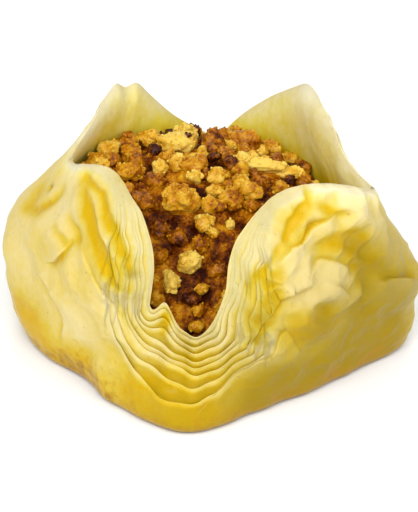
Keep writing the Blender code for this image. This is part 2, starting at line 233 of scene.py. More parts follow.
# A small pleat in the innermost sheets' edges, on the left of the front notch: the angle and reach in
# degrees, and how far the edge rises there. The share that is left of it goes down from sheet to sheet.
RIM_PLEAT = (216.0, 3.9, 3.8 * MM)
RIM_PLEAT_FROM = 16.5 * MM
RIM_PLEAT_TO = 19.5 * MM
RIM_PLEAT_SHARES = (1.0, 0.85, 0.55, 0.25)

# Folds in the wall. The path holds angles and heights in mm. A groove is pressed in. A lip is a sheet's
# fold that lies over the sheet below it: it stands up on the left of its path, seen along the path from
# outside, and leans over to the right.
# A fold's butter is how much deeper yellow it paints into its groove or under its lip: butter gathered
# there, and painted shade.
Fold = namedtuple("Fold", "kind width depth butter path")
FOLDS = (
    Fold(
        "groove", 1.6, 0.9, 0.9,
        ((176, 32.6), (181, 30.2), (186.5, 28.6), (191, 27.0), (197, 25.2), (203, 21.2)),
    ),
    Fold(
        "groove", 0.9, 0.8, 0.9,
        ((188.5, 32.8), (193, 31.1), (198.5, 30.0), (201.5, 28.2), (205.0, 24.2)),
    ),
    Fold("groove", 0.4, 0.8, 0.5, ((198.6, 24.4), (199.6, 22.8), (200.6, 20.8))),
    Fold("groove", 0.6, 0.35, 0.7, ((174, 33.6), (181, 33.4), (188, 33.0))),
    Fold("ridge", 0.6, 0.35, 0.0, ((181, 32.3), (189.3, 30.1), (196.2, 27.8), (202.5, 25.2))),
    Fold(
        "lip", 0.3, 0.35, 0.2,
        (
            (205.6, 12.6), (201.8, 15.5), (197.5, 17.8), (192.5, 20.8), (186.5, 23.8),
            (181, 26.4),
        ),
    ),
    Fold("groove", 0.5, 0.35, 0.3, ((201.5, 18.0), (203.4, 14.8))),
    Fold("groove", 0.7, 0.55, 0.5, ((171, 26.8), (178, 25.9), (183, 24.6))),
    Fold("groove", 0.6, 0.45, 0.5, ((166, 24.6), (175, 23.7), (181, 24.6))),
    Fold("lip", 0.4, 0.7, 0.8, ((165, 18.2), (170, 19.9), (173.5, 21.8), (177.5, 24.2))),
    Fold(
        "groove", 0.9, 0.6, 0.7,
        ((142, 22.0), (147, 22.7), (151.6, 23.6), (156.7, 26.2), (160, 29.0)),
    ),
    Fold("groove", 0.4, 0.8, 0.3, ((148.6, 26.4), (150.2, 27.2))),
    Fold("lip", 0.45, 0.45, 0.5, ((160, 15.4), (169, 14.2), (173.6, 12.2), (175.3, 9.6), (173.6, 5.0))),
    Fold(
        "groove", 0.8, 1.0, 1.0,
        ((272, 34.4), (270, 32.7), (267.3, 31.9), (262.7, 30.8), (259.0, 29.4)),
    ),
    Fold(
        "groove", 0.6, 0.5, 0.6,
        ((258.5, 29.2), (254, 27.8), (249, 26.0), (245.4, 23.5), (243.9, 18.8)),
    ),
    Fold(
        "lip", 0.35, 1.0, 0.9,
        (
            (281, 30.0), (275.1, 29.4), (270.8, 28.5), (265.2, 27.5), (260.1, 27.6),
            (255.5, 26.4),
        ),
    ),
    Fold(
        "lip", 0.35, 1.1, 0.9,
        ((245.4, 13.0), (247.9, 16.9), (250.2, 19.1), (253.6, 21.4), (259, 22.2), (268, 21.6)),
    ),
    Fold("groove", 1.5, 0.8, 1.0, ((250.5, 24.6), (251.5, 21.8), (248.6, 18.4), (245.6, 14.6))),
    Fold("ridge", 0.35, 0.4, 0.0, ((250.6, 24.9), (255.4, 23.8), (258.4, 22.8))),
    Fold("ridge", 0.3, 0.35, 0.0, ((250.6, 22.4), (253.4, 23.2), (257.4, 22.9))),
    Fold("groove", 0.7, 0.45, 0.6, ((274.5, 32.2), (279, 31.0), (285.5, 29.6))),
    Fold(
        "lip", 0.35, 0.6, 0.3,
        ((284.5, 20.6), (278.9, 22.6), (272.7, 23.9), (267.4, 23.3), (264.8, 21.8)),
    ),
    Fold(
        "groove", 1.3, 0.7, 0.5,
        ((285.5, 20.8), (289.1, 19.0), (290.9, 16.9), (289.0, 14.6), (291.5, 11.2)),
    ),
    Fold("lip", 0.35, 0.55, 0.4, ((282.5, 16.6), (276.2, 19.6), (272.0, 21.0))),
    Fold("lip", 0.35, 0.9, 0.9, ((310.5, 13.2), (306.8, 14.1), (302.1, 15.2), (296.0, 16.3))),
    Fold(
        "groove", 1.9, 0.9, 1.0,
        ((276, 26.6), (284.2, 25.4), (289.5, 23.2), (293.7, 20.4), (299, 18.0)),
    ),
    Fold("groove", 1.1, 0.55, 0.4, ((291.1, 12.6), (297.4, 10.5), (304.5, 8.2))),
    Fold("ridge", 2.2, 0.6, 0.0, ((262, 20.6), (270.7, 19.2), (279, 18.4))),
    Fold("groove", 1.5, 0.8, 0.4, ((120, 26), (116, 20), (118, 13))),
    Fold("lip", 0.5, 0.8, 0.5, ((128, 8), (120, 13), (112, 21), (104, 26))),
    Fold("groove", 1.6, 0.9, 0.6, ((84, 27), (80, 20), (72, 14))),
    Fold("lip", 0.5, 0.8, 0.6, ((92, 29), (97, 22), (95, 14), (88, 8))),
    Fold("groove", 1.2, 0.8, 0.6, ((60, 17), (54, 12), (48, 8))),
    Fold("lip", 0.5, 0.9, 0.6, ((34, 22), (28, 16), (20, 13), (10, 12))),
    Fold("groove", 1.6, 0.9, 0.6, ((14, 27), (8, 21), (2, 17))),
    Fold("groove", 1.2, 0.7, 0.5, ((352, 27), (346, 20), (344, 13))),
    Fold("lip", 0.5, 0.8, 0.4, ((330, 9), (337, 14), (341, 21), (338, 26))),
    Fold(
        "lip", 0.16, 0.34, 0.0,
        (
            (272, 8.6), (263.2, 10.3), (260.2, 12.6), (257.5, 14.7), (255.9, 13.9),
            (254.3, 12.1), (252.3, 10.9), (248.1, 10.4), (242.2, 8.6), (236.3, 7.0),
            (229.8, 4.0), (226.5, 2.4),
        ),
    ),
    Fold("groove", 0.7, 0.8, 1.0, ((216.4, 16.8), (216.6, 15.4), (215.4, 13.6))),
)
FOLD_LEAN = 0.9
LIP_REACH = 2.6 * MM
LIP_DIP = 0.35

# Relief that all sheets share: the sizes of its noise, where it fades, and the side that is crumpled most.
BROAD_SIZE = 12.0 * MM
MIDDLE_SIZE = 7.0 * MM
CRUMPLE_SIZE = 5.6 * MM
SMALL_CRUMPLE_SIZE = 3.1 * MM
FINE_SIZE = 1.4 * MM
FINEST_SIZE = 0.8 * MM
LINE_LENGTH = 14.0 * MM
LINE_SPACING = 1.5 * MM
LINES_FROM = 3.0 * MM
LINES_TO = 9.0 * MM
CALM_FROM = 0.5 * MM
CALM_TO = 6.0 * MM
CRUMPLED_SIDE = 282.0
CRUMPLED_REACH = 42.0
CRUMPLED_FROM = 8.0 * MM
CRUMPLED_TO = 18.0 * MM
PLEAT_SIZE = 3.6 * MM
OPENING_SIZE = 4.0 * MM

# Tints of the sheets: the sizes of their patches and freckles, and how far each tint reaches.
PATCH_SIZE = 9.0 * MM
SMALL_PATCH_SIZE = 4.0 * MM
FRECKLE_SIZE = 2.2 * MM
FINE_FRECKLE_SIZE = 1.1 * MM
BASE_TOAST_REACH = 2.4 * MM
# Each sheet is painted paler along its edge over these reaches: dry there, and painted highlight where the
# edge catches the light.
DRY_AND_HIGHLIGHT_EDGE_REACH = 0.5 * MM
DRY_AND_HIGHLIGHT_INNER_EDGE_REACH = 1.5 * MM
WET_REACH = 3.6 * MM
# Painted light: the rolled rims are painted pale, like the inside, over this reach.
PAINTED_LIGHT_RIM_REACH = 1.2 * MM
# Painted shade: the side round SHADED_SIDE, away from the key lamp, is painted darker, fully below SHADED_TO
# and fading out by SHADED_FROM.
SHADED_SIDE = 290.0
SHADED_REACH = 32.0
SHADED_FROM = 31.0 * MM
SHADED_TO = 18.0 * MM

# Stains of butter, paleness, browning and painted shade on the outside, and of butter inside: angle, height
# and reach in mm, and how strong.
Stain = namedtuple("Stain", "angle height reach strength")
BUTTER_STAINS = (
    Stain(154, 6.2, 3.6, 0.95),
    Stain(163, 20.6, 2.4, 0.4),
    Stain(143, 24.5, 1.8, 0.5),
    Stain(221, 3.6, 4.2, 0.9),
    Stain(176, 2.4, 4.0, 0.6),
    Stain(161, 3.2, 3.4, 0.5),
    Stain(286, 5.5, 5.0, 1.0),
    Stain(250, 2.4, 5.0, 0.7),
    Stain(262, 4.0, 4.0, 0.5),
    Stain(270, 14.4, 4.0, 1.0),
    Stain(296, 3.6, 6.0, 0.8),
    Stain(280, 3.0, 5.0, 0.6),
    Stain(184, 2.0, 5.0, 0.7),
    Stain(146, 3.6, 4.6, 0.8),
    Stain(212, 4.0, 3.0, 0.5),
    Stain(230, 9.0, 3.5, 0.35),
    Stain(265, 16.2, 3.0, 0.45),
    Stain(290, 22.8, 2.4, 0.4),
    Stain(300, 4.0, 4.0, 0.5),
    Stain(253, 24.5, 2.2, 0.5),
    Stain(90, 9.0, 5.0, 0.4),
    Stain(20, 6.0, 5.0, 0.45),
    Stain(335, 10.0, 4.0, 0.4),
    Stain(110, 14.0, 4.0, 0.3),
)
# Paler patches on the outside.
PALE_STAINS = (
    Stain(183, 10.4, 3.2, 0.35),
    Stain(262, 24.6, 2.2, 0.4),
    Stain(270, 19.2, 3.4, 0.3),
    Stain(290, 31.6, 2.2, 0.4),
    Stain(196, 14.0, 3.4, 0.25),
    Stain(165, 28.0, 3.4, 0.3),
    Stain(146, 17.0, 4.0, 0.2),
    Stain(252, 29.0, 3.0, 0.3),
)
INNER_STAINS = (
    Stain(82, 30.0, 4.0, 0.1),
    Stain(105, 29.0, 5.0, 0.15),
    Stain(22, 27.0, 6.0, 0.25),
    Stain(345, 25.0, 5.0, 0.3),
)
TOAST_STAINS = (
    Stain(284, 2.4, 3.4, 0.55),
    Stain(300, 2.0, 5.0, 0.5),
    Stain(262, 1.4, 5.0, 0.4),
    Stain(143, 24.3, 1.3, 0.45),
    Stain(176, 1.6, 4.5, 0.35),
    Stain(187, 1.0, 5.5, 0.7),
    Stain(199, 1.0, 5.0, 0.3),
    Stain(240, 1.0, 5.0, 0.3),
    Stain(160, 1.4, 4.5, 0.3),
    Stain(120, 3.0, 4.0, 0.4),
    Stain(35, 2.0, 5.0, 0.4),
    Stain(350, 3.0, 5.0, 0.4),
)
# Painted shade, in listed patches and spots: the shaded side, creases and small dark slits.
PAINTED_SHADE_STAINS = (
    Stain(291, 14.0, 3.0, 0.55),
    Stain(298, 10.5, 4.0, 0.5),
    Stain(250, 7.0, 5.0, 0.45),
    Stain(262, 6.5, 5.0, 0.45),
    Stain(286, 6.4, 4.4, 1.0),
    Stain(250, 2.0, 5.0, 0.6),
    Stain(306, 20.0, 5.0, 0.3),
    Stain(312, 12.0, 5.0, 0.3),
    Stain(300, 3.0, 6.0, 0.7),
    Stain(270, 14.4, 3.8, 0.6),
    Stain(283, 2.0, 5.0, 0.5),
    Stain(262, 2.0, 4.0, 0.3),
    Stain(206, 23.4, 0.9, 0.8),
    Stain(150, 27.0, 0.8, 0.8),
    Stain(248, 18.0, 2.0, 0.4),
)

# The walnut pieces that can be made out one by one: place in mm from the axis, lift above the heap in mm,
# half lengths in mm, turn in degrees, tone from 0 (brown) to 1 (pale), and how grainy.
Nut = namedtuple("Nut", "x y lift long wide high turn tone grain")
NUTS = (
    Nut(-5.0, 0.6, 0.6, 2.8, 2.6, 2.3, 20, 0.62, 0.7),
    Nut(3.0, 13.2, 0.0, 2.9, 2.0, 1.7, 140, 0.92, 1.0),
    Nut(7.4, 16.2, 0.4, 1.9, 1.6, 1.5, 30, 0.95, 1.0),
    Nut(8.6, 10.9, 0.3, 2.4, 1.9, 1.9, 60, 0.3, 1.0),
    Nut(12.0, 12.6, 0.4, 1.6, 1.4, 1.4, 10, 0.45, 1.0),
    Nut(14.2, 10.4, 0.5, 2.5, 2.0, 1.9, 150, 0.5, 0.35),
    Nut(18.2, 8.4, 0.4, 1.7, 1.4, 1.3, 80, 0.62, 0.9),
    Nut(11.3, 1.3, 0.3, 3.3, 1.3, 1.1, 143, 0.98, 0.45),
    Nut(14.2, -0.8, 0.2, 2.3, 1.2, 1.0, 140, 0.9, 0.45),
    Nut(8.4, 3.4, 0.3, 1.6, 1.2, 1.0, 160, 0.92, 0.7),
    Nut(0.2, 5.0, 0.2, 2.1, 1.5, 1.4, 130, 0.55, 0.7),
    Nut(-3.9, 7.7, 0.1, 1.4, 1.1, 1.1, 70, 0.8, 1.0),
    Nut(2.0, 1.1, 0.2, 1.5, 1.3, 1.2, 0, 0.75, 1.0),
    Nut(1.4, -3.6, 0.2, 1.9, 1.6, 1.5, 40, 0.5, 1.2),
    Nut(4.7, -3.4, 0.2, 1.9, 1.5, 1.4, 110, 0.6, 1.2),
    Nut(4.3, -1.4, 0.2, 1.5, 1.3, 1.2, 60, 0.68, 1.2),
    Nut(-0.1, -1.2, 0.1, 1.3, 0.9, 0.9, 130, 0.8, 0.5),
    Nut(-2.3, -2.6, 0.2, 1.5, 1.3, 1.3, 30, 0.72, 1.0),
    Nut(-4.4, -3.9, 0.2, 1.6, 1.4, 1.3, 0, 0.78, 1.0),
    Nut(-8.5, -3.1, 0.0, 1.6, 1.3, 1.3, 90, 0.25, 0.5),
    Nut(-6.4, -5.7, 0.0, 1.4, 1.3, 1.2, 30, 0.4, 1.2),
    Nut(-8.9, -6.5, 0.5, 1.8, 1.6, 1.5, 0, 0.9, 1.0),
    Nut(-12.3, -6.4, 0.4, 2.3, 1.3, 1.3, 62, 0.95, 0.7),
    Nut(-9.1, -9.8, 0.1, 1.0, 0.9, 0.8, 0, 0.7, 0.8),
    Nut(-7.5, 10.5, -0.3, 2.1, 1.6, 1.3, 130, 0.5, 1.0),
    Nut(-9.4, 4.4, -0.2, 2.2, 1.6, 1.4, 100, 0.35, 0.9),
    Nut(-6.4, 17.6, 0.5, 2.2, 1.6, 1.6, 40, 0.75, 1.0),
    Nut(-9.6, 15.6, 0.3, 1.9, 1.5, 1.4, 110, 0.7, 1.0),
    Nut(-2.4, 18.4, 0.3, 2.0, 1.6, 1.5, 20, 0.5, 1.0),
    Nut(-12.6, 12.6, 0.2, 1.8, 1.3, 1.3, 60, 0.6, 1.0),
    Nut(1.4, 17.6, 0.2, 1.8, 1.5, 1.4, 120, 0.62, 1.0),
    Nut(-14.6, 8.8, 0.2, 1.7, 1.2, 1.2, 80, 0.55, 1.0),
    Nut(-4.2, 14.8, -0.3, 1.9, 1.5, 1.3, 80, 0.5, 1.1),
    Nut(-10.7, -11.2, 0.0, 1.2, 1.0, 0.9, 30, 0.5, 1.2),
    Nut(-12.0, -12.3, 0.0, 1.0, 0.9, 0.8, 0, 0.55, 1.0),
    Nut(-9.8, -0.2, -0.3, 1.9, 1.5, 1.3, 60, 0.25, 0.8),
    Nut(10.2, -4.0, 0.0, 1.3, 1.1, 1.0, 20, 0.5, 1.1),
    Nut(7.4, 6.4, -0.1, 1.8, 1.3, 1.2, 110, 0.35, 0.9),
    Nut(-1.0, 9.6, -0.1, 1.7, 1.4, 1.2, 20, 0.6, 1.0),
    Nut(-10.2, 8.2, -0.4, 1.6, 1.3, 1.1, 80, 0.42, 1.0),
    Nut(-6.0, -9.4, -0.2, 1.5, 1.2, 1.1, 130, 0.3, 0.9),
)

# A large nut gets a finer mesh. The small nuts' half lengths are in mm, and the packing is the share of two
# nuts' half lengths that their middles stay apart.
LARGE_NUT = 1.75 * MM
SMALL_NUT_SIZES = (0.65, 1.35)
SMALL_NUT_TRIES = 20000
SMALL_NUT_PACKING = 0.72

# The body of the heap: its grid, and how it keeps clear of the sheets.
CORE_COLUMNS = 360
CORE_ROWS = 110
CORE_SIDE_ROWS = 3
CORE_ABOVE_FLOOR = 0.3 * MM
CORE_LEAST = 0.2 * MM
CORE_SIDE_GAP = 0.6 * MM
CORE_EDGE_DIP = 0.4 * MM


def smooth(value, low, high):
    """0 below low, 1 above high, and a smooth rise between them."""
    t = np.clip((value - low) / (high - low), 0.0, 1.0)
    return t * t * (3.0 - 2.0 * t)


def degrees_from(angle, centre):
    """How many degrees angle (in radians) lies past centre (in degrees), from -180 to 180."""
    return (np.degrees(angle) - centre + 180.0) % 360.0 - 180.0


def beside(angle, centre, reach):
    """1 at the centre, and less and less the farther the angle lies from it, in reaches."""
    return np.exp(-((degrees_from(angle, centre) / reach) ** 2))


def round_the_wall(run):
    """A run along the wall's base circle, taken the shorter way round."""
    turn = 2.0 * math.pi * BASE_HALF
    return (run + turn / 2.0) % turn - turn / 2.0


def rounded_square(angle, exponent):
    """Radius, at that angle, of a square of half side 1 with rounded corners."""
    c, s = np.abs(np.cos(angle)), np.abs(np.sin(angle))
    return (c**exponent + s**exponent) ** (-1.0 / exponent)


def corner_exponent(height):
    share = smooth(height, 0.0, WALL_TOP)
    return CORNER_EXPONENT_LOW + (CORNER_EXPONENT_HIGH - CORNER_EXPONENT_LOW) * share


def front_gather(angle, height):
    """How far the front notch and its pleats lie inwards of the plain wall."""
    from_notch = degrees_from(angle, FRONT_NOTCH)
    released = NOTCH_RELEASE * smooth(height, NOTCH_RELEASE_FROM, NOTCH_RELEASE_TO)
    pull = NOTCH_PULL * smooth(height, 0.0, NOTCH_PULL_RISE) * (1.0 - released)
    pleat = PLEAT_DEPTH * np.sin(2.0 * math.pi * from_notch / PLEAT_ANGLE)
    pleat = pleat * smooth(height, PLEAT_FROM, PLEAT_TO)
    return (
        pull * np.exp(-((from_notch / NOTCH_PULL_REACH) ** 2))
        - pleat * np.exp(-((from_notch / PLEAT_REACH) ** 2))
    )


def side_lean(angle, height):
    """How far the side corners lean in at a point, and the share of the thickness that is left there."""
    lean = np.zeros(np.broadcast(angle, height).shape)
    left = np.ones_like(lean)
    for centre, reach, low, high, depth, pressed in LEANS:
        near = beside(angle, centre, reach) * smooth(height, low, high)
        lean += depth * near
        left -= pressed * near
    return lean, left


def wall_radius(angle, height):
    """Distance from the pouch's axis to the wall's inner face."""
    half = BASE_HALF - STACK + WALL_BULGE * np.sin(math.pi * np.clip(height / WALL_TOP, 0.0, 1.0))
    radius = half * rounded_square(angle, corner_exponent(height))
    for centre, level, reach, reach_up, depth in SWELLINGS:
        across = degrees_from(angle, centre) / reach
        upwards = (height - level) / reach_up
        radius = radius + depth * np.exp(-(across**2) - upwards**2)
    return radius - side_lean(angle, height)[0] - front_gather(angle, height)


def closed_spline(points, count):
    """count points, evenly spaced, on a smooth closed curve through points, round the full circle."""
    knots = np.array(points, float)
    turn = np.array([2.0 * math.pi * BASE_HALF, 0.0, 2.0 * math.pi])
    knots[:, 0] = np.radians(knots[:, 0]) * BASE_HALF
    knots[:, 1] *= MM
    knots[:, 2] = np.radians(knots[:, 2])
    ring = np.vstack([knots[-1] - turn, knots, knots[:2] + turn])
    fine = np.linspace(0.0, 1.0, SPLINE_STEPS, endpoint=False)[:, None]
    curve = []
    for a, b, c, d in zip(ring, ring[1:], ring[2:], ring[3:]):
        bend_a, bend_b = (c - a) / 2.0, (d - b) / 2.0
        curve.append(
            (2 * fine**3 - 3 * fine**2 + 1) * b
            + (fine**3 - 2 * fine**2 + fine) * bend_a
            + (3 * fine**2 - 2 * fine**3) * c
            + (fine**3 - fine**2) * bend_b
        )
    curve = np.vstack([*curve, knots[:1] + turn])
    length = np.concatenate([[0.0], np.cumsum(np.hypot(*np.diff(curve[:, :2], axis=0).T))])
    even = np.linspace(0.0, length[-1], count, endpoint=False)
    return np.column_stack([np.interp(even, length, column) for column in curve.T]), length[-1]


def gradient_noise(across, up, cells, seed):
    """Smooth noise from about -1 to 1 over two coordinates, of which the first wraps after so many cells."""
    left, low = np.floor(across), np.floor(up)
    share_x, share_y = across - left, up - low
    ease_x = share_x**3 * (share_x * (share_x * 6.0 - 15.0) + 10.0)
    ease_y = share_y**3 * (share_y * (share_y * 6.0 - 15.0) + 10.0)
    corners = []
    for step_x in (0, 1):
        for step_y in (0, 1):
            cell = ((left + step_x) % cells) * 127.1 + (low + step_y) * 311.7 + seed * 74.7
            turn = 2.0 * math.pi * np.modf(np.abs(np.sin(cell)) * 43758.5453)[0]
            corners.append(np.cos(turn) * (share_x - step_x) + np.sin(turn) * (share_y - step_y))
    near = corners[0] + ease_y * (corners[1] - corners[0])
    far = corners[2] + ease_y * (corners[3] - corners[2])
    return 1.5 * (near + ease_x * (far - near))


def wall_noise(angle, height, size, seed):
    """Noise over the wall, with features of about that size."""
    cells = round(2.0 * math.pi * BASE_HALF / size)
    return gradient_noise(angle / (2.0 * math.pi) * cells, height / size, cells, seed)


def along_noise(place, length, size, other, seed):
    """Noise along the rim: place runs from 0 to 1 round it, and other is a second coordinate in cells."""
    cells = round(length / size)
    return gradient_noise(place * cells, other, cells, seed)


def near_notch(angle):
    return beside(angle, FRONT_NOTCH, NOTCH_REACH)


def in_fan(angle, height):
    """1 at the bottom of the front notch, where the sheets' edges fan out, and 0 well away from it."""
    across = beside(angle, FRONT_NOTCH, FAN_REACH)
    return across * (1.0 - smooth(height, FAN_TO, FAN_FROM))


def edges_open(angle, height):
    """How far the sheets' edges stand apart: 1 at the bottom of the front notch, and 0 where they are
    pressed together into one soft rim."""
    band = BAND_OPEN * np.exp(-((degrees_from(angle, FRONT_NOTCH) / BAND_REACH) ** 4))
    return np.maximum(in_fan(angle, height), band)


def edge_drops(rim, length):
    """How far below the rim each sheet's edge lies, along the wall, at each column."""
    columns = len(rim)
    angle = rim[:, 0] / BASE_HALF
    place = np.arange(columns) / columns
    drops = [np.zeros(columns)]
    for level in range(1, SHEETS):
        deepest = FRONT_NOTCH + EDGE_SWAY * math.sin(EDGE_SWAY_TURN * level)
        nearness = beside(angle, deepest, EDGE_DROP_REACH)
        drop = EDGE_DROP_TIP + (EDGE_DROP_NOTCH - EDGE_DROP_TIP) * nearness
        step = drop * (EDGE_SHARES[level] - EDGE_SHARES[level - 1])
        ragged = along_noise(place, length, EDGE_RAGGED_LENGTH, np.full(columns, 0.37 + 0.6 * level), 10)
        wave = along_noise(place, length, EDGE_WAVE_LENGTH, np.full(columns, 0.61 + 0.45 * level), 11)
        step = step * (1.0 + EDGE_RAGGED * ragged * nearness) + EDGE_WAVE * wave * nearness
        drops.append(drops[-1] + np.maximum(step, EDGE_LEAST_STEP))
    return drops


def pleat_rise(level, edge_angle, edge_height):
    """How far a sheet's edge rises in the small pleat beside the front notch."""
    if level >= len(RIM_PLEAT_SHARES):
        return np.zeros(edge_angle.shape)
    centre, reach, lift = RIM_PLEAT
    rise = lift * beside(edge_angle, centre, reach)
    return RIM_PLEAT_SHARES[level] * rise * (1.0 - smooth(edge_height, RIM_PLEAT_FROM, RIM_PLEAT_TO))


def sheet_edge(rim, drop):
    """The angle and height of a sheet's edge: the rim, moved down across the wall by drop."""
    along, height, _ = rim.T
    run = round_the_wall(np.roll(along, -EDGE_EVENED) - np.roll(along, EDGE_EVENED))
    rise = np.roll(height, -EDGE_EVENED) - np.roll(height, EDGE_EVENED)
    size = np.hypot(run, rise)
    return (along + drop * rise / size) / BASE_HALF, height - drop * run / size


def evened(values, reach):
    """Values round the rim, each one the mean of those up to so many columns away."""
    return sum(np.roll(values, step) for step in range(-reach, reach + 1)) / (2 * reach + 1)


def evenly_spaced(edge_angle, edge_height, columns):
    """Where, in columns round the rim, to take points that lie evenly spaced along a sheet's edge."""
    run = round_the_wall(BASE_HALF * (np.roll(edge_angle, -1) - edge_angle))
    steps = np.hypot(run, np.roll(edge_height, -1) - edge_height)
    length = np.concatenate([[0.0], np.cumsum(steps)])
    even = np.linspace(0.0, length[-1], columns, endpoint=False)
    return np.interp(even, length, np.arange(columns + 1))


def always_rising(angle):
    """Angles round the full circle, with the steps evened so that none of them goes back."""
    steps = np.diff(angle, append=angle[0] + math.tau)
    steps = evened(np.maximum(steps, LEAST_BASE_STEP * math.tau / len(angle)), BASE_EVENED)
    steps *= math.tau / steps.sum()
    return angle[0] + np.concatenate([[0.0], np.cumsum(steps[:-1])])


def taken_at(values, columns):
    """Values round the rim, taken at places that are counted in columns."""
    return np.interp(columns, np.arange(len(values) + 1), np.append(values, values[0]))


def away_from_edge(edge_angle, edge_height, angle, height):
    """How far each point lies from an edge, measured on the unrolled wall, and which of the edge's points
    is the nearest."""
    away = np.empty_like(height)
    nearest = np.empty(height.shape, int)
    for row in range(len(height)):
        run = round_the_wall((angle[row][:, None] - edge_angle[None, :]) * BASE_HALF)
        rise = height[row][:, None] - edge_height[None, :]
        square = run * run + rise * rise
        nearest[row] = square.argmin(axis=1)
        away[row] = np.sqrt(np.take_along_axis(square, nearest[row][:, None], axis=1)[:, 0])
    return away, nearest


def from_fold(path, angle, height):
    """Where points lie from a fold's path: the distance (positive on its left), the share along it from
    end to end, and the direction to its left."""
    knots = [(math.radians(a) * BASE_HALF, h * MM) for a, h in path]
    lengths = [math.dist(a, b) for a, b in zip(knots, knots[1:])]
    away = np.full(angle.shape, np.inf)
    side, share = np.ones(angle.shape), np.zeros(angle.shape)
    left_x, left_z = np.zeros(angle.shape), np.zeros(angle.shape)
    done = 0.0
    for (along_a, up_a), (along_b, up_b), length in zip(knots, knots[1:], lengths):
        run, rise = along_b - along_a, up_b - up_a
        along = round_the_wall(angle * BASE_HALF - along_a)
        up = height - up_a
        part = np.clip((along * run + up * rise) / length**2, 0.0, 1.0)
        distance = np.hypot(along - part * run, up - part * rise)
        closer = distance < away
        away = np.where(closer, distance, away)
        side = np.where(closer, np.sign(run * up - rise * along), side)
        share = np.where(closer, (done + part * length) / sum(lengths), share)
        left_x = np.where(closer, -rise / length, left_x)
        left_z = np.where(closer, run / length, left_z)
        done += length
    return away * side, share, left_x, left_z


class Relief:
    """Relief of the wall that all sheets share, at a grid of points on it, and its tints."""

    def __init__(self, angle, height, length, rim_away, settings):
        self.angle, self.height = angle.copy(), height.copy()
        self.butter = np.zeros(angle.shape)
        calm = smooth(height, CALM_FROM, CALM_TO)
        crumpled = beside(angle, CRUMPLED_SIDE, CRUMPLED_REACH)
        crumpled = crumpled * (0.35 + 0.65 * smooth(height, CRUMPLED_FROM, CRUMPLED_TO))
        broad = wall_noise(angle, height, BROAD_SIZE, 1) + 0.5 * wall_noise(angle, height, MIDDLE_SIZE, 2)
        crumple = 1.0 - 2.6 * np.abs(wall_noise(angle, height, CRUMPLE_SIZE, 3))
        crumple += 0.5 * (1.0 - 2.6 * np.abs(wall_noise(angle, height, SMALL_CRUMPLE_SIZE, 4)))
        lines = along_noise(angle / math.tau, length, LINE_LENGTH, rim_away / LINE_SPACING, 5)
        lines *= near_notch(angle) * smooth(rim_away, LINES_TO, LINES_FROM)
        fine = wall_noise(angle, height, FINE_SIZE, 6) + 0.6 * wall_noise(angle, height, FINEST_SIZE, 7)
        self.out = settings.crumple_depth * (
            0.8 * broad + (0.35 + 1.1 * crumpled) * crumple + 0.45 * lines + 0.1 * fine
        ) * calm
        self.folds = np.zeros(angle.shape)
        for fold in FOLDS:
            self.add_fold(fold, angle, height)

    def add_fold(self, fold, angle, height):
        away, share, left_x, left_z = from_fold(fold.path, angle, height)
        width, depth = fold.width * MM, fold.depth * MM
        ends = np.sin(math.pi * share) ** 0.6
        if fold.kind == "lip":
            over = smooth(away, -width, width) * np.exp(-np.maximum(away, 0.0) / LIP_REACH)
            under = np.exp(-((np.minimum(away, 0.0) / (0.5 * LIP_REACH)) ** 2)) * (away < 0.0)
            self.folds += depth * ends * (over - LIP_DIP * under)
            lean = FOLD_LEAN * depth * ends * np.exp(-(((away - width) / (1.6 * width)) ** 2))
            self.angle -= lean * left_x / BASE_HALF
            self.height -= lean * left_z
            # Under a lip the sheet is painted deeper yellow: butter, and painted shade under the overhang.
            self.butter += fold.butter * ends * under
        else:
            near = np.exp(-((away / width) ** 2)) * np.sin(math.pi * (0.15 + 0.7 * share))
            self.folds += depth * near * (1.0 if fold.kind == "ridge" else -1.0)
            # Grooves are painted deeper yellow and ridges paler: butter in the grooves, and painted shade
            # and painted highlight.
            self.butter += fold.butter * near - (0.25 * near if fold.kind == "ridge" else 0.0)


def stains(rows, angle, height):
    """How strongly a list of stains colours each point."""
    amount = np.zeros(angle.shape)
    for stain in rows:
        run = np.radians(degrees_from(angle, stain.angle)) * BASE_HALF
        away = np.hypot(run, height - stain.height * MM) / (stain.reach * MM)
        amount = amount + stain.strength * np.exp(-(away**2))
    return amount


def heap_height(x, y):
    """Height of the walnut heap's top over a point."""
    front = -(x + y) / math.sqrt(2.0) - HEAP_SLOPE_START
    slide = HEAP_SLOPE_EASE * np.log1p(np.exp(front / HEAP_SLOPE_EASE))
    away = np.hypot(x - HEAP_MIDDLE[0], y - HEAP_MIDDLE[1])
    return HEAP_TOP - HEAP_SLOPE * slide - HEAP_EDGE_FALL * (away / BASE_HALF) ** 2


def heap_foot(angle, gap):
    """Where the heap's top meets the wall at each angle: the radius and the height."""
    height = np.full_like(angle, HEAP_FOOT_GUESS)
    for _ in range(HEAP_FOOT_TRIES):
        radius = wall_radius(angle, height) - gap
        height = (height + heap_height(radius * np.cos(angle), radius * np.sin(angle))) / 2.0
    return radius, height


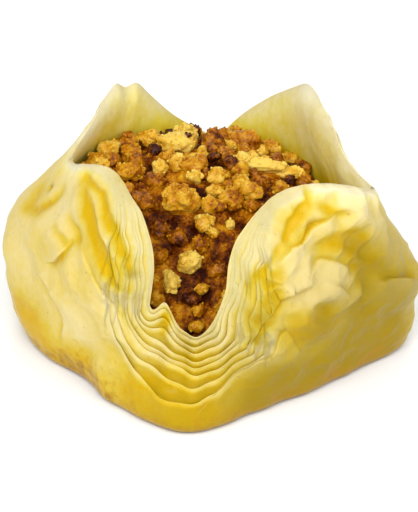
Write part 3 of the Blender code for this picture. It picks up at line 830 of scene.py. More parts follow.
def sheet_positions(level, skin, relief, length, rim_away, own_away, drops, settings):
    """How far out of the wall's inner face a sheet lies, each sheet clear of the one inside it, and how
    thick it is. Well below the edge of the sheet outside it, it is drawn in, clear of that sheet."""
    angle, height = relief.angle, relief.height
    gap = STACK / SHEETS * rounded_square(angle, corner_exponent(height)) * side_lean(angle, height)[1]
    fan = in_fan(angle, height)
    pleats = settings.pleat_depth * fan * smooth(height, PLEAT_FROM, PLEAT_TO)
    flare = settings.edge_flare * fan
    pressed = (1.0 - PRESSED_SHARE) * (1.0 - edges_open(angle, height))
    rolled = smooth(np.abs(degrees_from(angle, FRONT_NOTCH)), ROLL_FROM, ROLL_TO)
    roll = rolled * pressed * (SHEETS - 1) * gap * np.exp(-rim_away / ROLL_REACH)
    thinnest = THINNEST * (1.0 - rolled)
    stacked = np.zeros(angle.shape)
    position, first = None, None
    for inner in range(level + 1):
        away = own_away if inner == level else np.maximum(rim_away - drops[inner], 0.0)
        loose = 1.0 - np.exp(-away / LOOSE_REACH)
        outwards = (max(inner - 1, 0) + loose * (inner > 0)) / (SHEETS - 1)
        share = INNER_SHARE + (1.0 - INNER_SHARE) * outwards
        spacing = 1.0 - pressed * np.exp(-away / PRESSED_REACH)
        opening = flare * np.exp(-away / FLARE_REACH)
        opening = opening * (1.0 + 0.5 * wall_noise(angle, height, OPENING_SIZE, 50 + inner))
        slip = np.full(angle.shape, 0.5 + PLEAT_SLIP * inner)
        wave = pleats * along_noise(angle / math.tau, length, PLEAT_SIZE, slip, 49)
        wanted = stacked + roll + share * (relief.out + wave) + share**2 * relief.folds + opening
        if position is None:
            position = wanted
            first = wanted
        else:
            least = (settings.sheet_thickness + GAP_LEAST) * np.maximum(spacing, thinnest)
            position = np.maximum(wanted, position + least)
        uneven = wall_noise(angle, height, GAP_SIZE, 70 + inner)
        stacked = stacked + gap * (1.0 + GAP_UNEVEN * uneven) * spacing
    thickness = settings.sheet_thickness * np.maximum(spacing, thinnest)
    if level == 0:
        return position, thickness
    covered = smooth(own_away, COVER_FROM, COVER_TO)
    if skin:
        beyond = rim_away - drops[level + 1] if level < SHEETS - 1 else np.zeros(angle.shape)
        covered = smooth(beyond, COVER_FROM, COVER_TO)
    hidden = first + COVER_FIRST + COVER_STEP * level
    position = position + covered * (np.minimum(hidden, position) - position)
    if not skin:
        sunk = INNER_SIDE_SINK * smooth(own_away, INNER_SIDE_FROM, INNER_SIDE_TO)
        position = np.minimum(position, np.maximum(position - sunk, first + 0.5 * GAP_LEAST))
    return position, thickness + covered * (COVER_SKIN - thickness)


def floor_rings(foot, floor, floor_rows, round_rows):
    """Rings of a sheet's flat floor, and of the rounding from it up to the foot of its wall."""
    reach = np.hypot(foot[:, 0], foot[:, 1])
    rings = []
    for row in range(floor_rows):
        share = (row / floor_rows * (reach - FLOOR_ROUNDING) / reach)[:, None]
        rings.append(np.column_stack([foot[:, :2] * share, np.full(len(foot), floor)]))
    for row in range(round_rows):
        turn = math.pi / 2.0 * row / round_rows
        share = ((reach - FLOOR_ROUNDING * (1.0 - math.sin(turn))) / reach)[:, None]
        lift = floor + FLOOR_ROUNDING * (1.0 - math.cos(turn))
        rings.append(np.column_stack([foot[:, :2] * share, np.full(len(foot), lift)]))
    return np.array(rings)


def sheet_side(level, columns, rows, power, skin, floor_rows, settings):
    """Rings of one side of a sheet, from the middle of its floor to its edge, and the tints there. Skin is
    0 for the side towards the heap and 1 for the outer side."""
    rim, length = closed_spline(RIM, columns)
    drops = edge_drops(rim, length)
    edge_angle, edge_height = sheet_edge(rim, drops[level])
    edge_shift = edge_angle - rim[:, 0] / BASE_HALF
    base_shift = rim[:, 2] + evened(edge_shift, BASE_EVENED) - edge_angle
    taken = evenly_spaced(edge_angle, edge_height, columns)
    edge_angle = np.interp(taken, np.arange(columns + 1), np.append(edge_angle, edge_angle[0] + math.tau))
    edge_height = taken_at(edge_height, taken)
    edge_height = edge_height + pleat_rise(level, edge_angle, edge_height)
    base_angle = always_rising(edge_angle + taken_at(base_shift, taken))
    thickness = settings.sheet_thickness
    floor = (STACK - thickness) * (1.0 - level / (SHEETS - 1)) + thickness * (1.0 - skin)
    low = floor + FLOOR_ROUNDING
    steps = np.linspace(0.0, 1.0, rows + 1)[:, None]
    share = np.broadcast_to(1.0 - (1.0 - steps) ** power, (rows + 1, columns))
    angle = base_angle + (edge_angle - base_angle) * share**2
    height = low + (edge_height - low) * share
    rim_angle, rim_height = sheet_edge(rim, np.zeros(columns))
    rim_away, nearest = away_from_edge(rim_angle, rim_height, angle, height)
    own_away, _ = away_from_edge(angle[-1], height[-1], angle, height)
    drops = [evened(drop, EDGE_EVENED)[nearest] for drop in drops]
    relief = Relief(angle, height, length, rim_away, settings)
    position, thick = sheet_positions(level, skin, relief, length, rim_away, own_away, drops, settings)
    position = position + skin * thick
    radius = wall_radius(relief.angle, relief.height) + position
    wall = np.stack([radius * np.cos(relief.angle), radius * np.sin(relief.angle), relief.height], axis=-1)
    tints = sheet_tints(level, skin, relief, angle, height, own_away)
    outermost = skin and level == SHEETS - 1
    hidden = floor_rings(wall[0], floor, floor_rows, ROUND_ROWS_OUTERMOST if outermost else ROUND_ROWS)
    for name, values in tints.items():
        tints[name] = np.concatenate([np.repeat(values[:1], len(hidden), axis=0), values])
    if outermost:
        toast = tints["toast"][: len(hidden)]
        np.maximum(toast, 0.9 - 0.5 * (hidden[:, :, 2] / FLOOR_ROUNDING), out=toast)
    return np.concatenate([hidden, wall]), tints


def sheet_tints(level, skin, relief, angle, height, own_away):
    """Butter, toast and painted shade of a sheet's side at each point, each from 0 to 1, and how far the
    point belongs to the inside, which is baked less and is painted paler, as painted light. Butter also
    holds painted shade in dents and between sheets, and painted highlight on ridges and edges."""
    notch = near_notch(angle)
    patchy = wall_noise(angle, height, PATCH_SIZE, 21)
    patchy = patchy + 0.5 * wall_noise(angle, height, SMALL_PATCH_SIZE, 22)
    freckle = wall_noise(angle, height, FRECKLE_SIZE, 23)
    freckle = freckle + 0.7 * wall_noise(angle, height, FINE_FRECKLE_SIZE, 24)
    if not skin and level == 0:
        _, foot = heap_foot(angle[-1] % (2.0 * math.pi), 0.0)
        wet = np.exp(-np.maximum(height - foot, 0.0) / WET_REACH)
        # The rim top is painted paler near its edge: dry, and painted highlight.
        butter = 0.14 + 0.14 * patchy + 0.75 * wet - 0.12 * np.exp(-own_away / DRY_AND_HIGHLIGHT_INNER_EDGE_REACH)
        butter += 0.35 * notch + stains(INNER_STAINS, angle, height)
        toast = 0.1 * wet**3 * (1.0 + 0.5 * freckle)
        olive = np.zeros(angle.shape)
        # The innermost sheet's inner side is all inside: it is painted paler than the outside, as painted
        # light, as if lit through the thin pastry.
        inside = np.ones(angle.shape)
    else:
        # Dents and folds are painted deeper yellow and bumps paler: partly butter gathered in the dents,
        # partly painted shade in them and painted highlight on the bumps.
        shape = (relief.out + relief.folds) / MM
        butter = 0.3 + 0.14 * patchy - 0.3 * np.clip(shape, -1.2, 1.0) + 0.95 * relief.butter
        # Painted shade: beside the front notch, each sheet is deeper yellow back from its edge, under the
        # next sheet.
        butter += 0.5 * notch * smooth(own_away, 0.2 * MM, 1.1 * MM)
        butter += stains(BUTTER_STAINS, angle, height) - stains(PALE_STAINS, angle, height)
        # Each edge is painted paler: dry, and painted highlight where it catches the light.
        butter -= 0.3 * np.exp(-own_away / DRY_AND_HIGHLIGHT_EDGE_REACH)
        toast = np.exp(-((height / BASE_TOAST_REACH) ** 2)) * (0.65 + 0.45 * freckle)
        toast += stains(TOAST_STAINS, angle, height) * (0.8 + 0.6 * freckle)
        # Painted shade: darker on the side round SHADED_SIDE and more in its folds, in the gaps between the
        # fanned edges at the front notch, and in the listed spots.
        shaded = beside(angle, SHADED_SIDE, SHADED_REACH)
        shaded = shaded * (1.0 - smooth(height, SHADED_TO, SHADED_FROM))
        olive = stains(PAINTED_SHADE_STAINS, angle, height)
        olive += (0.5 + 0.5 * np.clip(relief.butter, 0.0, 1.0)) * shaded
        olive += 0.55 * in_fan(angle, height) * smooth(own_away, 0.25 * MM, 0.9 * MM)
        # Painted light: rims rolled out away from the front notch are painted pale, like the inside.
        rolled = smooth(np.abs(degrees_from(angle, FRONT_NOTCH)), ROLL_FROM, ROLL_TO)
        inside = np.exp(-own_away / PAINTED_LIGHT_RIM_REACH) * rolled
    tints = {"butter": butter, "toast": toast, "olive": olive, "inside": inside}
    return {name: np.clip(values, 0.0, 1.0) for name, values in tints.items()}


def ring_mesh(name, rings, tints):
    """A closed mesh from rings, whose first and last one are points, with a value per point and tint."""
    rows, columns = rings.shape[:2]
    middle = rings[1:-1].reshape(-1, 3)
    points = np.vstack([rings[0, 0], middle, rings[-1, 0]])
    points[:, 0] += AXIS[0]
    points[:, 1] += AXIS[1]
    column = np.arange(columns)
    after = (column + 1) % columns
    faces = [np.column_stack([np.zeros(columns, int), 1 + after, 1 + column]).tolist()]
    for row in range(rows - 3):
        low, high = 1 + row * columns, 1 + (row + 1) * columns
        faces.append(np.column_stack([low + column, low + after, high + after, high + column]).tolist())
    top = 1 + (rows - 3) * columns
    last = len(points) - 1
    faces.append(np.column_stack([top + column, top + after, np.full(columns, last)]).tolist())
    mesh = bpy.data.meshes.new(name)
    mesh.from_pydata(points.tolist(), [], [face for band in faces for face in band])
    for tint, values in tints.items():
        flat = np.concatenate([values[0, :1], values[1:-1].ravel(), values[-1, :1]])
        layer = mesh.attributes.new(tint, "FLOAT", "POINT")
        layer.data.foreach_set("value", flat.astype(np.float32))
    mesh.shade_smooth()
    mesh.update()
    return mesh


def make_sheet(level, settings):
    """One filo sheet as a thin closed shell, with the dense rows on the side that shows."""
    grid = {0: INNERMOST_GRID, SHEETS - 1: OUTERMOST_GRID}.get(level, MIDDLE_GRID)
    out_rings, out_tints = sheet_side(
        level, grid.columns, grid.outer_rows, grid.outer_power, 1, grid.outer_floor, settings
    )
    in_rings, in_tints = sheet_side(
        level, grid.columns, grid.inner_rows, grid.inner_power, 0, grid.inner_floor, settings
    )
    edge = (out_rings[-1] + in_rings[-1]) / 2.0
    edge[:, 2] += 0.35 * settings.sheet_thickness
    rings = np.concatenate([out_rings, edge[None], in_rings[::-1]])
    tints = {
        name: np.concatenate([values, values[-1:], in_tints[name][::-1]])
        for name, values in out_tints.items()
    }
    return ring_mesh(f"filo_sheet_{level + 1}", rings, tints)


def add_piece(name, mesh, material):
    piece = bpy.data.objects.new(name, mesh)
    bpy.context.scene.collection.objects.link(piece)
    mesh.materials.clear()
    mesh.materials.append(material)
    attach(piece, "root")
    return piece


def srgb(red, green, blue):
    """A colour from its usual 0 to 255 values, in Blender's linear ones."""
    channels = []
    for value in (red, green, blue):
        share = value / 255.0
        channels.append(share / 12.92 if share <= 0.04045 else ((share + 0.055) / 1.055) ** 2.4)
    return (*channels, 1.0)


def fill_inputs(tree, node, inputs):
    """Gives a node's inputs their constants, or links them where the value is another node's socket."""
    for key, value in inputs.items():
        if isinstance(value, bpy.types.NodeSocket):
            tree.links.new(value, node.inputs[key])
        else:
            node.inputs[key].default_value = value


def add_node(tree, kind, inputs, **values):
    node = tree.nodes.new(kind)
    for name, value in values.items():
        setattr(node, name, value)
    fill_inputs(tree, node, inputs)
    return node


class Nodes:
    """Short ways to add and join a material's nodes."""

    def __init__(self, name):
        self.material = bpy.data.materials.new(name)
        self.material.use_nodes = True
        self.tree = self.material.node_tree

    def shader(self, inputs):
        fill_inputs(self.tree, self.tree.nodes["Principled BSDF"], inputs)

    def add(self, kind, output, inputs, **values):
        return add_node(self.tree, kind, inputs, **values).outputs[output]

    def attribute(self, name):
        return self.add("ShaderNodeAttribute", "Fac", {}, attribute_name=name)

    def noise(self, scale, detail):
        place = self.add("ShaderNodeTexCoord", "Object", {})
        inputs = {"Vector": place, "Scale": scale, "Detail": detail, "Roughness": 0.55}
        return self.add("ShaderNodeTexNoise", "Fac", inputs)

    def maths(self, operation, first, second):
        return self.add("ShaderNodeMath", 0, {0: first, 1: second}, operation=operation)

    def spread(self, value, low, high, to_low=0.0, to_high=1.0):
        inputs = {"Value": value, "From Min": low, "From Max": high, "To Min": to_low, "To Max": to_high}
        return self.add("ShaderNodeMapRange", "Result", inputs, interpolation_type="SMOOTHSTEP")

    def ramp(self, value, stops):
        node = add_node(self.tree, "ShaderNodeValToRGB", {"Fac": value})
        band = node.color_ramp
        while len(band.elements) < len(stops):
            band.elements.new(0.5)
        for element, (position, colour) in zip(band.elements, stops):
            element.position = position
            element.color = colour
        return node.outputs["Color"]

    def mix(self, share, first, second, blend="MIX"):
        inputs = {0: share, 6: first, 7: second}
        return self.add("ShaderNodeMix", 2, inputs, data_type="RGBA", blend_type=blend)

    def bump(self, height, distance, strength, **below):
        inputs = {"Height": height, "Distance": distance, "Strength": strength, **below}
        return self.add("ShaderNodeBump", "Normal", inputs)


def filo_material(colours):
    nodes = Nodes("filo")
    cloudy = nodes.noise(260.0, 5.0)
    mottle = nodes.noise(900.0, 4.0)
    grain = nodes.noise(3400.0, 3.0)
    butter = nodes.maths("ADD", nodes.attribute("butter"), nodes.spread(cloudy, 0.3, 0.7, -0.09, 0.09))
    butter = nodes.maths("ADD", butter, nodes.spread(mottle, 0.3, 0.7, -0.07, 0.07))
    stops = (
        (0.0, colours.cream),
        (0.34, colours.light_yellow),
        (0.66, colours.yellow),
        (1.0, colours.deep_yellow),
    )
    # The ramp also carries the painted shade and painted highlight that the butter tint holds.
    base = nodes.ramp(butter, stops)
    # Painted shade: mixed in towards its dark colour.
    shaded = nodes.mix(nodes.maths("MULTIPLY", nodes.attribute("olive"), 0.85), base, colours.olive)
    toast = nodes.maths("ADD", nodes.attribute("toast"), nodes.spread(mottle, 0.35, 0.75, -0.25, 0.25))
    browned = nodes.mix(nodes.spread(toast, 0.15, 1.0), shaded, colours.toast)
    dark = nodes.mix(nodes.spread(toast, 0.75, 1.35, 0.0, 0.6), browned, colours.dark_toast)
    fleck = nodes.spread(nodes.noise(1500.0, 2.0), 0.68, 0.76, 0.0, 0.3)
    flecked = nodes.mix(fleck, dark, colours.dark_toast)
    # Painted shade: the outside is multiplied by the baked colour and the inside left paler, as if lit
    # through the thin pastry; part of it is the outside's longer baking.
    outside = nodes.maths("SUBTRACT", 1.0, nodes.attribute("inside"))
    skin = nodes.bump(mottle, 0.12 * MM, 0.6)
    nodes.shader({
        "Base Color": nodes.mix(outside, flecked, colours.baked, "MULTIPLY"),
        "Metallic": 0.0,
        "Roughness": nodes.spread(butter, 0.1, 0.9, 0.5, 0.3),
        "IOR": 1.45,
        "Specular IOR Level": 0.12,
        "Subsurface Weight": 0.35,
        "Subsurface Radius": (1.0, 0.75, 0.22),
        "Subsurface Scale": 0.8 * MM,
        "Coat Weight": 0.03,
        "Coat Roughness": 0.25,
        "Normal": nodes.bump(grain, 0.04 * MM, 0.6, Normal=skin),
    })
    return nodes.material


def nut_material(name, colours, gloss, depth, shine):
    nodes = Nodes(name)
    cloudy = nodes.noise(500.0, 5.0)
    grain = nodes.noise(2600.0, 4.0)
    tone = nodes.maths("ADD", nodes.attribute("tone"), nodes.spread(cloudy, 0.3, 0.7, -0.2, 0.2))
    tone = nodes.maths("ADD", tone, nodes.spread(grain, 0.3, 0.7, -0.1, 0.1))
    stops = (
        (0.0, colours.nut_dark),
        (0.22, colours.nut_brown),
        (0.45, colours.nut_amber),
        (0.7, colours.nut_golden),
        (1.0, colours.nut_pale),
    )
    nodes.shader({
        "Base Color": nodes.ramp(tone, stops),
        "Metallic": 0.0,
        "Roughness": nodes.spread(grain, 0.3, 0.7, 0.3, 0.55),
        "IOR": 1.47,
        "Specular IOR Level": shine,
        "Subsurface Weight": depth,
        "Subsurface Radius": (1.0, 0.5, 0.15),
        "Subsurface Scale": 0.5 * MM,
        "Coat Weight": gloss,
        "Coat Roughness": 0.18,
        "Normal": nodes.bump(grain, 0.1 * MM, 0.7),
    })
    return nodes.material


def plane_noise(x, y, size, seed):
    """Noise over the heap, with features of about that size."""
    return gradient_noise(x / size, y / size, 4096, seed)


def heap_lumps(x, y):
    return 0.9 * plane_noise(x, y, 3.4 * MM, 81) + 0.45 * plane_noise(x, y, 1.5 * MM, 82)


def make_core(settings):
    """The body of the heap: a lumpy, sunken surface that shows between the pieces, with a hidden foot."""
    angle = np.linspace(0.0, 2.0 * math.pi, CORE_COLUMNS, endpoint=False)
    foot, foot_height = heap_foot(angle, settings.core_gap)
    low = STACK + CORE_ABOVE_FLOOR
    foot_height = np.maximum(foot_height - settings.core_sink, low + CORE_LEAST)
    level = np.full(CORE_COLUMNS, low + FLOOR_ROUNDING)
    bottom = wall_radius(angle, level) - FLOOR_ROUNDING - CORE_SIDE_GAP
    rings = [np.zeros((CORE_COLUMNS, 3)) + (0.0, 0.0, low)]
    for share in np.linspace(0.0, 1.0, CORE_SIDE_ROWS + 1):
        height = low + (foot_height - low) * share
        radius = wall_radius(angle, height) - CORE_SIDE_GAP if share else bottom
        radius = np.minimum(radius, foot) if share == 1.0 else radius
        rings.append(np.column_stack([radius * np.cos(angle), radius * np.sin(angle), height + 0.0 * angle]))
    for row in range(1, CORE_ROWS + 1):
        share = 1.0 - row / CORE_ROWS
        x, y = foot * share * np.cos(angle), foot * share * np.sin(angle)
        lumps = heap_lumps(x, y) + 0.3 * (1.0 - 2.4 * np.abs(plane_noise(x, y, 2.2 * MM, 83)))
        height = heap_height(x, y) - settings.core_sink + settings.core_relief * lumps
        height -= CORE_EDGE_DIP * np.exp(-((1.0 - share) / 0.05))
        rings.append(np.column_stack([x, y, np.maximum(height, low + CORE_LEAST)]))
    rings[-1][:] = rings[-1][0]
    rings = np.array(rings)
    x, y = rings[..., 0], rings[..., 1]
    # The body's hollows between its lumps are painted darker: painted shade, over the syrup's dark colour.
    tone = np.clip(0.24 + 0.34 * heap_lumps(x, y) + 0.2 * plane_noise(x, y, 6.0 * MM, 84), 0.0, 0.75)
    return ring_mesh("nut_core", rings, {"tone": tone})


def knobbly_nut(centre, half, turn, tone, grain, fineness, number):
    """Points, faces and tones of one piece of walnut: an uneven lump with a grainy surface."""
    bm = bmesh.new()
    bmesh.ops.create_icosphere(bm, subdivisions=fineness, radius=1.0)
    size = min(half)
    spin = Matrix.Rotation(math.radians(turn), 4, "Z")
    points, tones = [], []
    away = Vector((number * 7.3, number * 3.1, 0.0))
    for vertex in bm.verts:
        way = vertex.co.normalized()
        lump = noise.noise(way * 1.1 + away) * 0.42 + noise.noise(way * 2.3 + away) * 0.22
        body = Vector((way.x * half[0], way.y * half[1], way.z * half[2])) * (1.0 + lump)
        cells, _ = noise.voronoi(body / (0.62 * MM) + away)
        rough = noise.noise(body / (0.3 * MM) + away)
        knob = 0.55 - cells[0] * cells[0]
        out = grain * (0.11 * knob + 0.09 * rough) * MM * min(1.0, size / (1.2 * MM))
        body += way * out
        points.append(centre + spin @ body)
        # Knobs and bulges are painted paler and the grooves between them darker: painted shade in the grain.
        tones.append(tone + 0.2 * grain * (knob - 0.25) + 0.2 * lump)
    faces = [[vertex.index for vertex in face.verts] for face in bm.faces]
    bm.free()
    return points, faces, tones


def joined_nuts(name, nuts):
    """One mesh of many pieces, each given as points, faces and tones."""
    points, faces, tones = [], [], []
    for some_points, some_faces, some_tones in nuts:
        start = len(points)
        points.extend(some_points)
        faces.extend([start + index for index in face] for face in some_faces)
        tones.extend(some_tones)
    mesh = bpy.data.meshes.new(name)
    mesh.from_pydata([tuple(point) for point in points], [], faces)
    layer = mesh.attributes.new("tone", "FLOAT", "POINT")
    layer.data.foreach_set("value", np.clip(np.array(tones, np.float32), 0.0, 1.1))
    mesh.shade_smooth()
    mesh.update()
    return mesh


def on_heap(x, y, lift):
    top = max(float(heap_height(x, y)), STACK + 2.0 * MM)
    return Vector((x + AXIS[0], y + AXIS[1], top + lift))


def make_large_nuts():
    nuts = []
    for number, nut in enumerate(NUTS):
        half = (nut.long * MM, nut.wide * MM, nut.high * MM)
        centre = on_heap(nut.x * MM, nut.y * MM, (nut.lift - 0.35 * nut.high) * MM)
        fineness = 4 if max(half) > LARGE_NUT else 3
        if number == 0:
            fineness += 1
        nuts.append(knobbly_nut(centre, half, nut.turn, nut.tone, nut.grain, fineness, number))
    return joined_nuts("nut_pieces", nuts)


def make_small_nuts(settings):
    """Smaller pieces that fill the heap between the large ones, packed but clear of their middles."""
    rng = np.random.default_rng(settings.seed)
    taken = [(nut.x * MM, nut.y * MM, 0.5 * (nut.long + nut.wide) * MM) for nut in NUTS]
    nuts = []
    tries = 0
    while len(nuts) < settings.small_nuts and tries < SMALL_NUT_TRIES:
        tries += 1
        size = rng.uniform(*SMALL_NUT_SIZES) * MM
        angle = rng.uniform(0.0, 2.0 * math.pi)
        foot, _ = heap_foot(np.array([angle]), 0.0)
        distance = (float(foot[0]) - 0.9 * size) * math.sqrt(rng.uniform(0.0, 1.0))
        x, y = distance * math.cos(angle), distance * math.sin(angle)
        if any(math.hypot(x - a, y - b) < SMALL_NUT_PACKING * (size + c) for a, b, c in taken):
            continue
        taken.append((x, y, size))
        half = [size * rng.uniform(0.75, 1.25) for _ in range(3)]
        centre = on_heap(x, y, rng.uniform(-0.9, 0.0) * MM)
        tone = float(np.clip(rng.normal(0.46, 0.3), 0.08, 0.98))
        turn, grain = rng.uniform(0.0, 180.0), rng.uniform(0.6, 1.2)
        nuts.append(knobbly_nut(centre, half, turn, tone, grain, 3, len(NUTS) + len(nuts) + 1))
    return joined_nuts("nut_bits", nuts)


def crumb_tree(material):
    """Geometry Nodes: crumbs scattered over a surface, each turned, scaled and roughened on its own."""
    tree = bpy.data.node_groups.new("scattered crumbs", "GeometryNodeTree")
    face = tree.interface
    face.new_socket("Geometry", in_out="INPUT", socket_type="NodeSocketGeometry")
    for name in ("Density", "Smallest", "Largest", "Roughness"):
        face.new_socket(name, in_out="INPUT", socket_type="NodeSocketFloat")
    for name in ("Fineness", "Seed"):
        face.new_socket(name, in_out="INPUT", socket_type="NodeSocketInt")
    face.new_socket("Geometry", in_out="OUTPUT", socket_type="NodeSocketGeometry")

    def add(kind, output, inputs, **values):
        return add_node(tree, kind, inputs, **values).outputs[output]

    def random(kind, inputs, seed):
        output = 1 if kind == "FLOAT" else 0
        return add("FunctionNodeRandomValue", output, {**inputs, "Seed": seed}, data_type=kind)

    given = tree.nodes.new("NodeGroupInput").outputs
    seed = given["Seed"]
    surface = {"Mesh": given["Geometry"], "Density": given["Density"], "Seed": seed}
    points = add("GeometryNodeDistributePointsOnFaces", "Points", surface, distribute_method="RANDOM")
    ball = {"Radius": 1.0, "Subdivisions": given["Fineness"]}
    crumb = add("GeometryNodeMeshIcoSphere", "Mesh", ball)
    size = random("FLOAT", {2: given["Smallest"], 3: given["Largest"]}, seed)
    stretch = random("FLOAT_VECTOR", {0: (0.7, 0.7, 0.6), 1: (1.35, 1.2, 1.1)}, 3)
    scale = add("ShaderNodeVectorMath", 0, {0: stretch, "Scale": size}, operation="SCALE")
    turn = random("FLOAT_VECTOR", {1: (math.tau, math.tau, math.tau)}, 5)
    placed = {"Points": points, "Instance": crumb, "Rotation": turn, "Scale": scale}
    instances = add("GeometryNodeInstanceOnPoints", "Instances", placed)
    under = add("GeometryNodeInputNamedAttribute", "Attribute", {"Name": "tone"}, data_type="FLOAT")
    shade = random("FLOAT", {2: -0.12, 3: 0.16}, 9)
    tone = add("ShaderNodeMath", 0, {0: under, 1: shade}, operation="ADD")
    toned = {"Geometry": instances, "Name": "tone", "Value": tone}
    kept = add("GeometryNodeStoreNamedAttribute", "Geometry", toned, data_type="FLOAT", domain="INSTANCE")
    real = add("GeometryNodeRealizeInstances", "Geometry", {"Geometry": kept})
    rough = add("ShaderNodeTexNoise", "Color", {"Scale": 1900.0, "Detail": 2.0})
    centred = add("ShaderNodeVectorMath", 0, {0: rough, 1: (0.5, 0.5, 0.5)}, operation="SUBTRACT")
    push = add("ShaderNodeVectorMath", 0, {0: centred, "Scale": given["Roughness"]}, operation="SCALE")
    moved = add("GeometryNodeSetPosition", "Geometry", {"Geometry": real, "Offset": push})
    soft = add("GeometryNodeSetShadeSmooth", "Geometry", {"Geometry": moved})
    shown = add("GeometryNodeSetMaterial", "Geometry", {"Geometry": soft, "Material": material})
    add_node(tree, "NodeGroupOutput", {"Geometry": shown})
    return tree


def scatter_crumbs(name, surface, tree, values):
    """A plain mesh of crumbs on a surface, from the tree and the values for its named inputs."""
    obj = bpy.data.objects.new(name, surface)
    bpy.context.scene.collection.objects.link(obj)
    modifier = obj.modifiers.new("crumbs", "NODES")
    modifier.node_group = tree
    for item in tree.interface.items_tree:
        if item.in_out == "INPUT" and item.name in values:
            modifier[item.identifier] = values[item.name]
    graph = bpy.context.evaluated_depsgraph_get()
    mesh = bpy.data.meshes.new_from_object(obj.evaluated_get(graph))
    mesh.name = name
    bpy.data.objects.remove(obj)
    return mesh


def heap_surface(names):
    """The top of the heap, as one mesh of the faces that look up and lie above its hidden foot."""
    points, faces, tones = [], [], []
    for name in names:
        mesh = bpy.data.objects[name].data
        start = len(points)
        tones.extend(value.value for value in mesh.attributes["tone"].data)
        points.extend(tuple(vertex.co) for vertex in mesh.vertices)
        for face in mesh.polygons:
            x, y, z = face.center
            low = float(heap_height(x - AXIS[0], y - AXIS[1])) - 2.6 * MM
            if z > low and face.normal.z > -0.2:
                faces.append([start + index for index in face.vertices])
    mesh = bpy.data.meshes.new("heap surface")
    mesh.from_pydata(points, [], faces)
    mesh.attributes.new("tone", "FLOAT", "POINT").data.foreach_set("value", tones)
    return mesh


def length_property(name, description, usual, most, least=0.0):
    """A length, given in millimetres."""
    return bpy.props.FloatProperty(
        name=name, description=description, default=usual * MM, min=least * MM, max=most * MM,
        precision=5, unit="LENGTH",
    )


class FiloSettings(bpy.types.PropertyGroup):
    """Sizes of the filo sheets."""

    sheet_thickness: length_property("Sheet thickness", "Thickness of one baked sheet", 0.15, 0.3, 0.05)
    edge_flare: length_property("Edge flare", "How far the sheets' edges open at the front notch", 0.26, 1.0)
    crumple_depth: length_property("Crumple depth", "Depth of the soft dents all over the wall", 0.42, 1.0)
    pleat_depth: length_property("Pleat depth", "Depth of the small pleats at the front notch", 0.42, 1.0)


class NutSettings(bpy.types.PropertyGroup):
    """Sizes and numbers of the walnut filling."""

    core_gap: length_property("Gap to the wall", "Gap between the heap and the innermost sheet", 0.1, 1.0)
    core_sink: length_property("Depth between pieces", "How far the heap's body lies sunken", 1.2, 3.0)
    core_relief: length_property("Lumpiness", "Height of the lumps of the heap's body", 0.8, 2.0)
    crumb_size: length_property("Crumb size", "Radius of the largest of the fine crumbs", 0.32, 1.0, 0.1)
    small_nuts: bpy.props.IntProperty(
        name="Small pieces", description="Number of small walnut pieces", default=135, min=0, max=300,
    )
    crumb_density: bpy.props.FloatProperty(
        name="Crumbs per square millimetre", description="How thickly the crumbs lie", default=1.1,
        min=0.0, max=8.0,
    )
    seed: bpy.props.IntProperty(
        name="Seed", description="Changes where the small pieces and crumbs lie", default=4, min=0,
    )


def colour_property(name, description, red, green, blue):
    return bpy.props.FloatVectorProperty(
        name=name, description=description, default=srgb(red, green, blue), size=4, min=0.0, max=1.0,
        subtype="COLOR",
    )


class ColourSettings(bpy.types.PropertyGroup):
    """Colours of the pastry, the walnuts and the floor."""

    # Dry filo is also the painted highlight on edges and ridges.
    cream: colour_property("Dry filo", "Dry edges and ridges of the sheets", 248, 235, 184)
    light_yellow: colour_property("Plain filo", "The sheets where little butter lies", 243, 224, 142)
    yellow: colour_property("Buttered filo", "The sheets where butter lies", 234, 211, 86)
    # Soaked filo also paints the shade in creases, under lips and between the sheets.
    deep_yellow: colour_property("Soaked filo", "Folds where butter and syrup gather", 230, 192, 8)
    # Painted shade: the dark colour of the shaded side, of creases and slits, and of the gaps between the
    # fanned edges.
    olive: colour_property("Shaded filo", "Thin translucent places", 166, 143, 14)
    toast: colour_property("Toasted filo", "Browned places near the base", 194, 150, 22)
    dark_toast: colour_property("Dark toast", "The darkest baked flecks", 142, 98, 12)
    # Baked outside: partly the outside's longer baking, partly painted shade that leaves the inside paler,
    # as if lit through the thin pastry.
    baked: colour_property("Baked outside", "Darkens the outside, which bakes longer", 218, 211, 186)
    nut_pale: colour_property("Pale walnut", "Dry walnut meat", 220, 188, 84)
    nut_golden: colour_property("Golden walnut", "Walnut meat with syrup on it", 198, 148, 28)
    nut_amber: colour_property("Amber walnut", "Walnut soaked in syrup", 166, 102, 6)
    nut_brown: colour_property("Brown walnut", "Walnut skins", 108, 52, 4)
    # Dark walnut is the syrup-soaked body between the pieces, and the painted shade in its hollows and gaps.
    nut_dark: colour_property("Dark walnut", "The gaps between the pieces", 50, 14, 3)
    floor: colour_property("Floor", "The plain floor", 238, 241, 246)


class BAKLAVA_OT_filo_sheets(bpy.types.Operator):
    """Nine filo sheets, folded up round the heap, one inside the other"""

    bl_idname = "baklava.filo_sheets"
    bl_label = "Filo sheets"

    def execute(self, context):
        settings = context.scene.baklava_filo
        material = filo_material(context.scene.baklava_colours)
        for level in range(SHEETS):
            mesh = make_sheet(level, settings)
            sheet = add_piece(mesh.name, mesh, material)
            if level == SHEETS - 1:
                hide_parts("filo_pouch")
        return {"FINISHED"}


